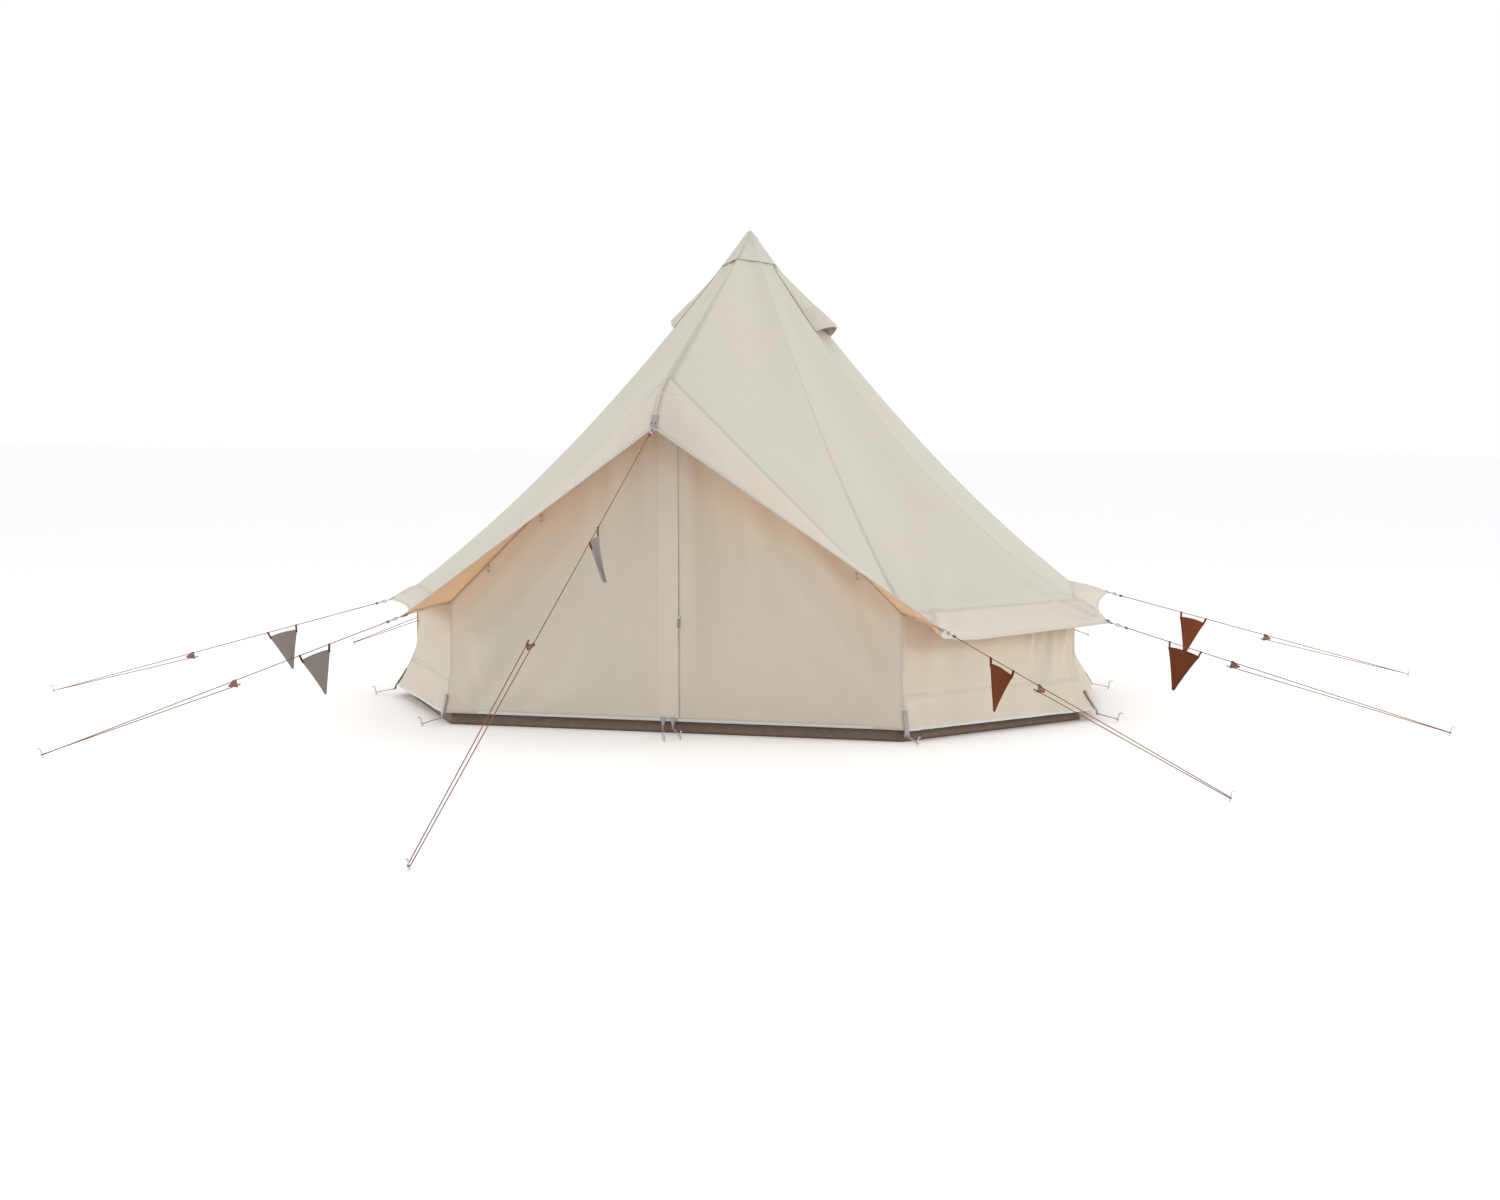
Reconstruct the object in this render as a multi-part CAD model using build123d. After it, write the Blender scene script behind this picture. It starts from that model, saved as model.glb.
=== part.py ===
from build123d import *
import math
import os

# Bell tent, pitched with its guy lines. Millimetres, +Z up, the door faces -Y.
# The origin is on the ground, under the centre pole.

# Driving dimensions
APEX_Z = 2500              # top of the apex cap
SECTORS = 9                # roof sectors, so one corner every 40 degrees
STEP_DEG = 360 / SECTORS
CANVAS = 3                 # thickness that stands in for the canvas
FRONT_R = 1785             # wall top radius at the two corners beside the door
SIDE_R = 1820              # wall top radius at the other corners
WALL_TOP_Z = 605           # where the roof meets the walls
SKIRT_TOP_Z = 210          # seam above the flared bottom band
SKIRT_END_Z = 55           # bottom edge of the canvas
FRONT_SKIRT_R = 1830
SIDE_SKIRT_R = 1940
RIDGE_TOP = (45, 2440)     # radius and height of the roof's upper edge
RIDGE_SAG = 125            # how far a ridge hangs below its chord
DOOR_RIDGE = (1390, 1720)  # distance from the pole, and height, of the A-frame's peak
DOOR_Y = -1385             # middle plane of the flat door wall
LEAF_END_Z = 70            # bottom edge of the door leaves
CORD_D = 4                 # guy line diameter
PEG_R = 3
PEG_LENGTH = 45            # what shows of a peg above the ground
PEG_HOOK = 16              # the bent end
PEG_BEND = 6

# Corners, counted from the door, positive towards +X. For each one: azimuth, radius and height
# of the eave's tip, then azimuth and radius of the guy line's peg.
GUYS = {
    0: (0, 1615, 1475, 2.7, 4950),
    1: (41.7, 2080, 550, 46.2, 3880),
    2: (80, 2015, 495, 83.3, 3650),
    3: (120, 2050, 540, 122.4, 3980),
    4: (160, 2030, 540, 163, 4165),
    -1: (-40, 2050, 550, -39.4, 3850),
    -2: (-79, 1960, 525, -77.9, 3830),
    -3: (-120, 2030, 540, -122.4, 3945),
    -4: (-160, 2030, 540, -160, 3900),
}
# Distance from the eave's tip, along the line, to the tensioner and to the pennant.
TENSIONER_AT = {0: 2075, 1: 675, 2: 620, 3: 1020, 4: 1000, -1: 905, -2: 1125, -3: 900, -4: 1000}
PENNANT_AT = {0: 1120, 1: 425, 2: 385, 3: 550, -1: 485, -2: 620}
CORNER_NAMES = {
    0: "door", 1: "front_right", 2: "right", 3: "back_right", 4: "rear_right",
    -1: "front_left", -2: "left", -3: "back_left", -4: "rear_left",
}
RING_OFFSET = 17           # from the eave's tip to the middle of its ring
HOOK_START = 28            # the hook begins here, counted from the eave's tip
HOOK_LENGTH = 58
STRAND_GAP = 26            # between the two strands of a guy line, at the tensioner

PENNANT_WIDTH = 160
PENNANT_DROP = 205
PENNANT_HANG = 22          # from the guy line to the pennant's upper edge
PENNANT_T = 3

SPLIT_X = 43               # the zip, a little right of the middle
LEAF_GAP = 4
HINGE_TOP = (10, 1420)     # x and z of the leaf's fold line, at the head of the door
HINGE_END = (1085, 66)     # and at the foot
SLIDER_Z = 560

VENT_PAIRS = [(2, 3), (4, -4), (-3, -2)]
SIDE_PAIRS = [(1, 2), (2, 3), (3, 4), (4, -4), (-4, -3), (-3, -2), (-2, -1)]


def write(name, solids):
    """Write one node: a single solid, or a group of separate ones."""
    solids = list(solids)
    shape = solids[0] if len(solids) == 1 else Compound(children=solids)
    export_step(shape, "parts/" + name + ".step")


def polar(radius, azimuth, z):
    """A point from its distance to the pole, its azimuth from the door, and its height."""
    a = math.radians(azimuth)
    return Vector(radius * math.sin(a), -radius * math.cos(a), z)


def mix(a, b, t):
    return a + (b - a) * t


def triangle(a, b, c):
    """A flat face on three points, or nothing where they are in line."""
    if (b - a).cross(c - a).length < 1e-6:
        return []
    return [Face(Wire.make_polygon([a, b, c], close=True))]


def quad(a, b, c, d):
    return triangle(a, b, c) + triangle(a, c, d)


def sheet(outer, inner, holes=()):
    """A thin closed solid between two grids of points. holes lists the cells that are left open."""
    rows = len(outer) - 1
    columns = len(outer[0]) - 1
    cells = {(i, j) for i in range(rows) for j in range(columns)} - set(holes)
    faces = []
    for i, j in sorted(cells):
        for grid in (outer, inner):
            faces += quad(grid[i][j], grid[i][j + 1], grid[i + 1][j + 1], grid[i + 1][j])
        edges = {
            (i - 1, j): ((i, j), (i, j + 1)),
            (i + 1, j): ((i + 1, j), (i + 1, j + 1)),
            (i, j - 1): ((i, j), (i + 1, j)),
            (i, j + 1): ((i, j + 1), (i + 1, j + 1)),
        }
        for neighbour, ((a, b), (c, d)) in edges.items():
            if neighbour not in cells:
                faces += quad(outer[a][b], outer[c][d], inner[c][d], inner[a][b])
    return Solid(Shell(faces))


def grid_between(left, right, columns):
    """Rows of points, each one spread between a left and a right point."""
    return [[mix(a, b, t) for t in columns] for a, b in zip(left, right)]


def tube(points, radii, diameter):
    """A round cord along straight runs joined by arcs."""
    path = FilletPolyline(*points, radius=radii) if radii else Polyline(*points)
    start = points[0]
    plane = Plane(origin=start, z_dir=points[1] - start)
    return sweep(plane * Circle(diameter / 2), path=path).solid()


def rod(start, end, radius, bore=0):
    """A round bar or a tube between two points."""
    plane = Plane(origin=start, z_dir=end - start)
    body = extrude(plane * Circle(radius), amount=(end - start).length)
    if bore:
        body -= extrude(plane * Circle(bore), amount=(end - start).length)
    return body.solid()


def upright(points, y_middle, thickness):
    """A flat sheet in the plane of the door, from its outline in x and z."""
    corners = [Vector(x, y_middle - thickness / 2, z) for x, z in points]
    return extrude(Face(Wire.make_polygon(corners, close=True)), amount=thickness, dir=(0, 1, 0)).solid()


# --- roof ---------------------------------------------------------------------------------

def corner_azimuth(k):
    return k * STEP_DEG


def wall_radius(k):
    return FRONT_R if abs(k) == 1 else SIDE_R


def skirt_radius(k):
    return FRONT_SKIRT_R if abs(k) == 1 else SIDE_SKIRT_R


def ridge(k, s, inset=0):
    """A point of corner k's roof seam: s is 0 at the pole and 1 at the wall. It hangs as a parabola."""
    if k == 0:
        end, sag = DOOR_RIDGE, 0
    else:
        end, sag = (wall_radius(k), WALL_TOP_Z), RIDGE_SAG
    run = end[0] - RIDGE_TOP[0]
    drop = end[1] - RIDGE_TOP[1]
    radius = RIDGE_TOP[0] + run * s
    z = RIDGE_TOP[1] + drop * s - 4 * sag * s * (1 - s)
    slope = drop - 4 * sag * (1 - 2 * s)
    length = math.hypot(run, slope)
    return polar(radius + inset * slope / length, corner_azimuth(k), z - inset * run / length)


def roof_panel(a, b, rows, columns, holes=()):
    def side(inset):
        left = [ridge(a, s, inset) for s in rows]
        right = [ridge(b, s, inset) for s in rows]
        return grid_between(left, right, columns)
    return sheet(side(0), side(CANVAS), holes)


CAP_RIM = 0.072            # how far down the roof seams the apex cap reaches
ROOF_ROWS = [0, CAP_RIM] + [i / 6 for i in range(1, 7)]
HOOD_ROWS = [0.085, 0.13, 0.185, 0.235]
VENT_ROWS = [0, CAP_RIM] + HOOD_ROWS + [0.4, 0.6, 0.8, 1]
VENT_COLUMNS = [0, 0.25, 0.75, 1]
VENT_CELL = (3, 1)
FRONT_COLUMNS = [0, 1 / 3, 2 / 3, 1]


def side_roof():
    panels = []
    for a, b in SIDE_PAIRS:
        if (a, b) in VENT_PAIRS:
            panels.append(roof_panel(a, b, VENT_ROWS, VENT_COLUMNS, [VENT_CELL]))
        else:
            panels.append(roof_panel(a, b, ROOF_ROWS, [0, 1]))
    return panels


def front_roof():
    return [roof_panel(0, 1, ROOF_ROWS, FRONT_COLUMNS), roof_panel(-1, 0, ROOF_ROWS, FRONT_COLUMNS)]


def vent_mesh(a, b):
    """The insect mesh that fills a vent's opening, in the middle of the canvas."""
    row, column = VENT_CELL
    rows = VENT_ROWS[row:row + 2]
    columns = VENT_COLUMNS[column:column + 2]

    def side(inset):
        return grid_between([ridge(a, s, inset) for s in rows], [ridge(b, s, inset) for s in rows], columns)
    return sheet(side(1), side(2))


HOOD_STAND = 85            # how far the hood's mouth stands off the roof
HOOD_STRIPS = 4


def vent_hood(a, b):
    """A canvas hood over a vent, as strips that arch from one roof seam to the next."""
    normal = (ridge(a, 0.2, -1) + ridge(b, 0.2, -1) - ridge(a, 0.2) - ridge(b, 0.2)).normalized()

    def point(s, u, lift):
        growth = (s - HOOD_ROWS[0]) / (HOOD_ROWS[-1] - HOOD_ROWS[0])
        stand = 1 + lift + HOOD_STAND * growth * math.sin(math.pi * u)
        return mix(ridge(a, s), ridge(b, s), u) + normal * stand

    strips = []
    for i in range(HOOD_STRIPS):
        ends = [i / HOOD_STRIPS, (i + 1) / HOOD_STRIPS]
        outer = [[point(s, u, CANVAS) for u in ends] for s in HOOD_ROWS]
        inner = [[point(s, u, 0) for u in ends] for s in HOOD_ROWS]
        strips.append(sheet(outer, inner))
    return strips


CAP_NOSE = (22, 2472)
CAP_LIFT = 8               # from the roof to the inside of the cap


def cap_gore(a, b):
    """One of the gores of doubled canvas that cover the pole and the ends of the roof seams."""
    radius, height = CAP_NOSE

    def side(lift):
        left = [ridge(a, s, -lift) for s in (CAP_RIM, 0)]
        right = [ridge(b, s, -lift) for s in (CAP_RIM, 0)]
        left.append(polar(radius, corner_azimuth(a), height + lift - CAP_LIFT))
        right.append(polar(radius, corner_azimuth(b), height + lift - CAP_LIFT))
        rows = grid_between(left, right, FRONT_COLUMNS)
        rows.append([Vector(0, 0, APEX_Z + lift - CAP_LIFT - CANVAS)] * len(FRONT_COLUMNS))
        return rows
    return sheet(side(CAP_LIFT + CANVAS), side(CAP_LIFT))


def apex_cap():
    return [cap_gore(a, b) for a, b in SIDE_PAIRS + [(-1, 0), (0, 1)]]


# --- eaves --------------------------------------------------------------------------------

def tip(k):
    azimuth, radius, z, _, _ = GUYS[k]
    return polar(radius, azimuth, z)


EAVE_PULL = 80             # how far the eave's edge curves in, halfway between two tips
EAVE_COLUMNS = [i / 6 for i in range(7)]


def eave_inward(a, b):
    middle = (tip(a) + tip(b)) * 0.5
    return Vector(-middle.X, -middle.Y, 0).normalized()


SEAM_GAP = 0.4


def flap(a, b, pull):
    """Canvas from the roof's lower seam out to the edge between two tips."""
    down = Vector(0, 0, -CANVAS)

    def root(k, inset):
        outwards = (tip(k) - ridge(k, 1)).normalized()
        return ridge(k, 1, inset) + outwards * SEAM_GAP

    def edge(t):
        return mix(tip(a), tip(b), t) + eave_inward(a, b) * (pull * 4 * t * (1 - t))

    outer_root = [mix(root(a, 0), root(b, 0), t) for t in EAVE_COLUMNS]
    inner_root = [mix(root(a, CANVAS), root(b, CANVAS), t) for t in EAVE_COLUMNS]
    outer_edge = [edge(t) for t in EAVE_COLUMNS]
    inner_edge = [edge(t) + down for t in EAVE_COLUMNS]
    return sheet([outer_root, outer_edge], [inner_root, inner_edge])


def eave_flaps():
    return [flap(a, b, EAVE_PULL) for a, b in SIDE_PAIRS]


def door_porch():
    """The two halves of the canvas that overhangs the door wall."""
    return [flap(a, b, 0) for a, b in [(-1, 0), (0, 1)]]


# --- walls --------------------------------------------------------------------------------

def band(pairs, levels, thickness):
    """Wall sheets between corners. Each level gives a height and a function for its corner radius."""
    sheets = []
    for a, b in pairs:
        def side(inset):
            left = [polar(radius(a) - inset, corner_azimuth(a), z) for z, radius in levels]
            right = [polar(radius(b) - inset, corner_azimuth(b), z) for z, radius in levels]
            return grid_between(left, right, [0, 1])
        sheets.append(sheet(side(0), side(thickness)))
    return sheets


def side_walls():
    levels = [(WALL_TOP_Z - 2, lambda k: wall_radius(k) - 6), (SKIRT_TOP_Z, wall_radius)]
    return band(SIDE_PAIRS, levels, CANVAS)


def wall_skirts():
    levels = [(SKIRT_TOP_Z - 1, wall_radius), (SKIRT_END_Z, skirt_radius)]
    return band(SIDE_PAIRS, levels, CANVAS)


def fold_line():
    """Direction of the right leaf's fold line, and the normal that points away from the door."""
    dx = HINGE_END[0] - HINGE_TOP[0]
    dz = HINGE_END[1] - HINGE_TOP[1]
    length = math.hypot(dx, dz)
    return (dx / length, dz / length), (-dz / length, dx / length)


def beside_fold(offset, z=None, x=None):
    """A point of a line parallel to the fold line, at a given height or a given x."""
    (ux, uz), (nx, nz) = fold_line()
    px, pz = HINGE_TOP[0] + nx * offset, HINGE_TOP[1] + nz * offset
    t = (z - pz) / uz if z is not None else (x - px) / ux
    return (px + ux * t, pz + uz * t)


def mirror_x(points):
    return [(-x, z) for x, z in points]


def door_side_panels():
    """The fixed parts of the door wall, outside the fold lines."""
    corner = ridge(1, 1)
    outline = [
        (0, DOOR_RIDGE[1] - 16),
        (corner.X - 8, WALL_TOP_Z - 10),
        (corner.X - 8, SKIRT_END_Z + 5),
        beside_fold(LEAF_GAP / 2, z=SKIRT_END_Z + 5),
        beside_fold(LEAF_GAP / 2, x=0),
    ]
    return [upright(outline, DOOR_Y, CANVAS), upright(mirror_x(outline), DOOR_Y, CANVAS)]


LEAF_SIDE = LEAF_GAP / 2


def door_leaf_right():
    inner = SPLIT_X + LEAF_SIDE
    outline = [(inner, LEAF_END_Z), beside_fold(-LEAF_SIDE, z=LEAF_END_Z), beside_fold(-LEAF_SIDE, x=inner)]
    return upright(outline, DOOR_Y, CANVAS)


def door_leaf_left():
    inner = SPLIT_X - LEAF_SIDE
    outline = [
        (inner, LEAF_END_Z),
        (inner, beside_fold(-LEAF_SIDE, x=inner)[1]),
        beside_fold(-LEAF_SIDE, x=0),
    ] + mirror_x([beside_fold(-LEAF_SIDE, z=LEAF_END_Z)])
    return upright(outline, DOOR_Y, CANVAS)


FLAP_X = (-50, SPLIT_X - LEAF_SIDE)
FLAP_T = 2.5
FLAP_CLEAR = 8             # between the flap's upper corner and the left leaf's fold line
TAPE_WIDTH = 18
TAPE_T = 1.5
SLIDER_SIZE = (10, 5, 17)
SLIDER_STAND = 3.3         # from the wall's outer face to the slider's middle
LUG_SIZE = (4, 2.2, 5)
LUG_STAND = 6.8
PULL_SIZE = (11, 2, 46)
PULL_STAND = 9.4
PULL_DROP = 24             # from the slider's middle to the pull's middle


def strip(x_low, x_high, z_high, y_middle, thickness):
    outline = [(x_low, LEAF_END_Z), (x_high, LEAF_END_Z), (x_high, z_high), (x_low, z_high)]
    return upright(outline, y_middle, thickness)


def zip_parts():
    front = DOOR_Y - CANVAS / 2
    back = DOOR_Y + CANVAS / 2
    left, right = SPLIT_X - LEAF_SIDE, SPLIT_X + LEAF_SIDE
    left_top = beside_fold(-LEAF_SIDE, x=left)[1]
    right_top = beside_fold(-LEAF_SIDE, x=right + TAPE_WIDTH)[1]
    flap_top = beside_fold(-FLAP_CLEAR, x=-FLAP_X[0])[1]
    write("zip_cover_flap", [strip(*FLAP_X, flap_top, front - FLAP_T / 2, FLAP_T)])
    write("zip_tape_left", [strip(left - TAPE_WIDTH, left, left_top, back + TAPE_T / 2, TAPE_T)])
    write("zip_tape_right", [strip(right, right + TAPE_WIDTH, right_top, back + TAPE_T / 2, TAPE_T)])
    slider_x = SPLIT_X + 8
    slider = Pos(slider_x, front - SLIDER_STAND, SLIDER_Z) * Box(*SLIDER_SIZE)
    slider = fillet(slider.edges().filter_by(Axis.Y), 3)
    lug = Pos(slider_x, front - LUG_STAND, SLIDER_Z - 2) * Box(*LUG_SIZE)
    write("zip_slider", [(slider + lug).solid()])
    pull = Pos(slider_x, front - PULL_STAND, SLIDER_Z - PULL_DROP) * Box(*PULL_SIZE)
    pull = fillet(pull.edges().filter_by(Axis.Y), 4)
    write("zip_pull", [pull.solid()])


TOGGLES = [(650, 1030), (930, 780)]
TOGGLE_LENGTH = 32
TOGGLE_R = 4.5
TOGGLE_STAND = 9           # from the wall's middle plane to the toggle's axis


def door_toggles():
    """Wooden toggles that hold the rolled leaves, below the roof's edge."""
    toggles = []
    for x, z in TOGGLES:
        for side in (-1, 1):
            start = Vector(side * x, DOOR_Y - TOGGLE_STAND, z - TOGGLE_LENGTH / 2)
            toggles.append(rod(start, start + Vector(0, 0, TOGGLE_LENGTH), TOGGLE_R))
    return toggles


# --- groundsheet --------------------------------------------------------------------------

FLOOR_T = 3
TUB_TOP_Z = 95
TUB_LEAN = 28              # how far the tub's top edge stands in from its foot
FRONT_FLOOR_R = 1790
SIDE_FLOOR_R = 1860


def floor_radius(k):
    return FRONT_FLOOR_R if abs(k) == 1 else SIDE_FLOOR_R


def groundsheet():
    corners = [polar(floor_radius(k), corner_azimuth(k), 0) for k in [1, 2, 3, 4, -4, -3, -2, -1]]
    floor = extrude(Face(Wire.make_polygon(corners, close=True)), amount=FLOOR_T, dir=(0, 0, 1))
    write("groundsheet_floor", [floor.solid()])
    levels = [(TUB_TOP_Z, lambda k: floor_radius(k) - TUB_LEAN), (FLOOR_T, floor_radius)]
    write("groundsheet_sides", band(SIDE_PAIRS + [(-1, 1)], levels, 2))


# --- poles --------------------------------------------------------------------------------

POLE_R = 16
POLE_WALL = 1.5
SLEEVE_IN = 90             # of the joining sleeve, inside the section below
SLEEVE_OUT = 8
FOOT_R = 30
FOOT_TOP_Z = 14
PLUG_LENGTH = 22
HEAD_R = 20
HEAD_T = 16
SPIKE_R = 4                # the pin on top of the pole, through the roof's eyelet


def centre_pole():
    names = ["lower", "middle", "upper"]
    length = (RIDGE_TOP[1] - FOOT_TOP_Z) / len(names)
    for i, name in enumerate(names):
        start = Vector(0, 0, FOOT_TOP_Z + i * length)
        section = rod(start, start + Vector(0, 0, length), POLE_R, POLE_R - POLE_WALL)
        if i:
            sleeve_start = start - Vector(0, 0, SLEEVE_IN)
            sleeve_end = start + Vector(0, 0, SLEEVE_OUT)
            section += rod(sleeve_start, sleeve_end, POLE_R - POLE_WALL, POLE_R - 2 * POLE_WALL)
        write("centre_pole_" + name, [section.solid()])
    foot = rod(Vector(0, 0, FLOOR_T), Vector(0, 0, FOOT_TOP_Z), FOOT_R)
    foot = fillet(foot.edges().group_by(Axis.Z)[-1], 3)
    foot += rod(Vector(0, 0, FOOT_TOP_Z), Vector(0, 0, FOOT_TOP_Z + PLUG_LENGTH), POLE_R - POLE_WALL)
    write("pole_foot", [foot.solid()])
    top = Vector(0, 0, RIDGE_TOP[1])
    head = rod(top, top + Vector(0, 0, HEAD_T), HEAD_R)
    head = fillet(head.edges().group_by(Axis.Z)[-1], 7)
    head += rod(top - Vector(0, 0, 40), top, POLE_R - POLE_WALL)
    head += rod(top + Vector(0, 0, HEAD_T - 1), top + Vector(0, 0, 35), SPIKE_R)
    write("pole_head", [head.solid()])


FRAME_R = 11
FRAME_WALL = 1.2
FRAME_TOP = Vector(24, -1345, 1682)
FRAME_END = Vector(1015, -1308, 22)


def a_frame():
    """The door's A-frame: two legs, each of two tubes, a peak joint and two feet."""
    lower, upper, feet = [], [], []
    for side in (-1, 1):
        top = Vector(side * FRAME_TOP.X, FRAME_TOP.Y, FRAME_TOP.Z)
        end = Vector(side * FRAME_END.X, FRAME_END.Y, FRAME_END.Z)
        middle = mix(end, top, 0.5)
        direction = (top - end).normalized()
        bore = FRAME_R - FRAME_WALL
        upper.append(rod(middle, top, FRAME_R, bore))
        leg = rod(end, middle, FRAME_R, bore)
        leg += rod(middle - direction * 70, middle + direction * 70, bore, bore - FRAME_WALL)
        lower.append(leg.solid())
        foot = rod(end - direction * 9, end, FRAME_R + 2)
        foot += rod(end, end + direction * 24, bore)
        feet.append(foot.solid())
    write("a_frame_lower_legs", lower)
    write("a_frame_upper_legs", upper)
    write("a_frame_feet", feet)
    peak = Vector(0, FRAME_TOP.Y, FRAME_TOP.Z + 18)
    joint = Pos(*peak) * Sphere(FRAME_R + 3)
    for side in (-1, 1):
        arm = Vector(side * FRAME_TOP.X, FRAME_TOP.Y, FRAME_TOP.Z)
        end = Vector(side * FRAME_END.X, FRAME_END.Y, FRAME_END.Z)
        along = (end - arm).normalized()
        joint += rod(arm - along * 22, arm, FRAME_R + 1)
        joint += rod(arm, arm + along * 50, FRAME_R - FRAME_WALL)
    joint += rod(peak, peak + Vector(0, 0, 28), 4)
    write("a_frame_peak_joint", [joint.solid()])


# --- guy lines ----------------------------------------------------------------------------

def peg_foot(k):
    _, _, _, azimuth, radius = GUYS[k]
    return polar(radius, azimuth, 0)


CORD_AT_PEG_Z = 16


def line_frame(k):
    """The guy line's start, direction, length and sideways direction, from the eave's tip."""
    start = tip(k)
    end = peg_foot(k) + Vector(0, 0, CORD_AT_PEG_Z)
    along = (end - start).normalized()
    sideways = along.cross(Vector(0, 0, 1)).normalized()
    return start, along, (end - start).length, sideways


WRAP = PEG_R + CORD_D / 2 + 0.4        # radius of the cord's turn round its peg
WRAP_ARCS = [WRAP * 0.97, WRAP * 0.95]
TAIL = 16                              # of the cord's free end, past the tensioner


def return_side(k):
    """Beside the tensioner, from the running strand to the returning one: level at the door, else down."""
    _, along, _, sideways = line_frame(k)
    return sideways if k == 0 else along.cross(sideways)


def guy_line(k):
    """From the hook, straight to the peg, round it, and back past the tensioner."""
    start, along, length, sideways = line_frame(k)
    begin = start + along * (HOOK_START + HOOK_LENGTH)
    turn = start + along * (length + WRAP)
    back = turn + sideways * (2 * WRAP)
    end = start + along * (TENSIONER_AT[k] - TAIL) + return_side(k) * STRAND_GAP
    route = [begin, turn, back, end]
    cord = tube(route, WRAP_ARCS, CORD_D)
    run = FilletPolyline(*route, radius=WRAP_ARCS).length
    share = cord.volume / (math.pi * CORD_D ** 2 / 4 * run)
    radii = [round(r, 2) for r in WRAP_ARCS]
    print(f"guy line {CORNER_NAMES[k]}: length {run:.0f}, radii {radii}, volume share {share:.4f}")
    return cord


PLATE_W = 40
PLATE_H = 48
PLATE_SHOULDER = 8                     # how far down its sides stay parallel
PLATE_TIP = 3                          # half the width of its point
PLATE_T = 5
PLATE_SINK = CORD_D / 2 + 0.6          # from the cords' axes to the plate
EYE_R = CORD_D / 2 + 0.7
EYE_LENGTH = 12
RING_R = 12
RING_WIRE_R = 2
HOOK_R = 3.4
BEAD_R = 7
BEADS_AT = (0.55, 0.85)                # along the hook
TAB_LENGTH = 28
TAB_WIDTH = 24
TAB_T = 2.4


def tensioner(k):
    """A three-cornered wooden slider that lies along the two strands, with an eye round the running one."""
    start, along, _, _ = line_frame(k)
    across = return_side(k)
    away = along.cross(across)
    begin = start + along * TENSIONER_AT[k]
    middle = begin + across * (STRAND_GAP / 2) + away * PLATE_SINK
    face = Plane(origin=middle, x_dir=across, z_dir=away)
    side = PLATE_W / 2
    outline = Polyline(
        (-side, 0), (side, 0), (side, -PLATE_SHOULDER),
        (PLATE_TIP, -PLATE_H), (-PLATE_TIP, -PLATE_H), (-side, -PLATE_SHOULDER), close=True)
    plate = extrude(face * make_face(outline), amount=PLATE_T)
    plate += rod(begin, begin + along * EYE_LENGTH, EYE_R + 2)
    plate -= rod(begin - along * 5, begin + along * 60, EYE_R)
    return plate.solid()


def ring(k):
    start, along, _, sideways = line_frame(k)
    plane = Plane(origin=start + along * RING_OFFSET, x_dir=along, z_dir=sideways.cross(along))
    return (plane * Torus(RING_R, RING_WIRE_R)).solid()


def hook(k):
    """The snap hook and its two beads, between the ring and the cord."""
    start, along, _, _ = line_frame(k)
    begin = start + along * HOOK_START
    end = begin + along * HOOK_LENGTH
    body = rod(begin + along * 5, end, HOOK_R)
    for t in BEADS_AT:
        body += Pos(*mix(begin, end, t)) * Sphere(BEAD_R)
    return body.solid()


def webbing_tab(k):
    """A short tab of grey webbing, sewn on the eave's tip, that holds the ring."""
    seam = (tip(k) - ridge(k, 1)).normalized()
    side = seam.cross(Vector(0, 0, 1)).normalized()
    normal = side.cross(seam)
    height = 1.8 if k == 0 else -CANVAS - 6
    plane = Plane(origin=tip(k) - seam * 12 + normal * height, x_dir=seam, z_dir=normal)
    return (plane * Box(TAB_LENGTH, TAB_WIDTH, TAB_T)).solid()


def leaning_peg(at, lean):
    """A hooked peg: it stands on the ground, leans away, and its top bends over the cord."""
    axis = lean.normalized()
    dip = PEG_R * math.sqrt(1 - axis.Z ** 2)
    bottom = at - axis * ((at.Z - dip) / axis.Z)
    top = bottom + axis * PEG_LENGTH
    away = Vector(axis.X, axis.Y, 0).normalized()
    return tube([bottom, top, top + away * PEG_HOOK], [PEG_BEND], 2 * PEG_R)


def guy_peg(k):
    start, along, length, sideways = line_frame(k)
    at = start + along * length + sideways * WRAP
    lean = sideways.cross(along)
    return leaning_peg(at, lean)


# Pegs at the foot of the walls: one at each corner and two in front of the door.
CORNER_TIE = 110
TIE_AT_PEG_Z = 14
TIE_D = 4
DOOR_TIES = [((-30, -1398), (70, -1680)), ((20, -1398), (125, -1600))]


def wall_ties():
    """Start and end of each elastic tie: from the foot of the wall to its peg."""
    ties = []
    for k in (1, 2, 3, 4, -4, -3, -2, -1):
        radius = skirt_radius(k)
        azimuth = corner_azimuth(k)
        ties.append((polar(radius + 4, azimuth, 36), polar(radius + CORNER_TIE, azimuth, TIE_AT_PEG_Z)))
    for (x0, y0), (x1, y1) in DOOR_TIES:
        ties.append((Vector(x0, y0, 30), Vector(x1, y1, TIE_AT_PEG_Z)))
    return ties


def corner_pegs_and_ties():
    pegs, ties = [], []
    for start, end in wall_ties():
        away = Vector(end.X - start.X, end.Y - start.Y, 0).normalized()
        at = end + away * (PEG_R + TIE_D / 2)
        pegs.append(leaning_peg(at, away * 0.25 + Vector(0, 0, 1)))
        ties.append(rod(start, end, TIE_D / 2))
    write("corner_pegs", pegs)
    write("corner_peg_ties", ties)


# --- pennants -----------------------------------------------------------------------------

LOOP_X = 72                # from the pennant's middle to each of its loops
LOOP_R = 1.4


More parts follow.
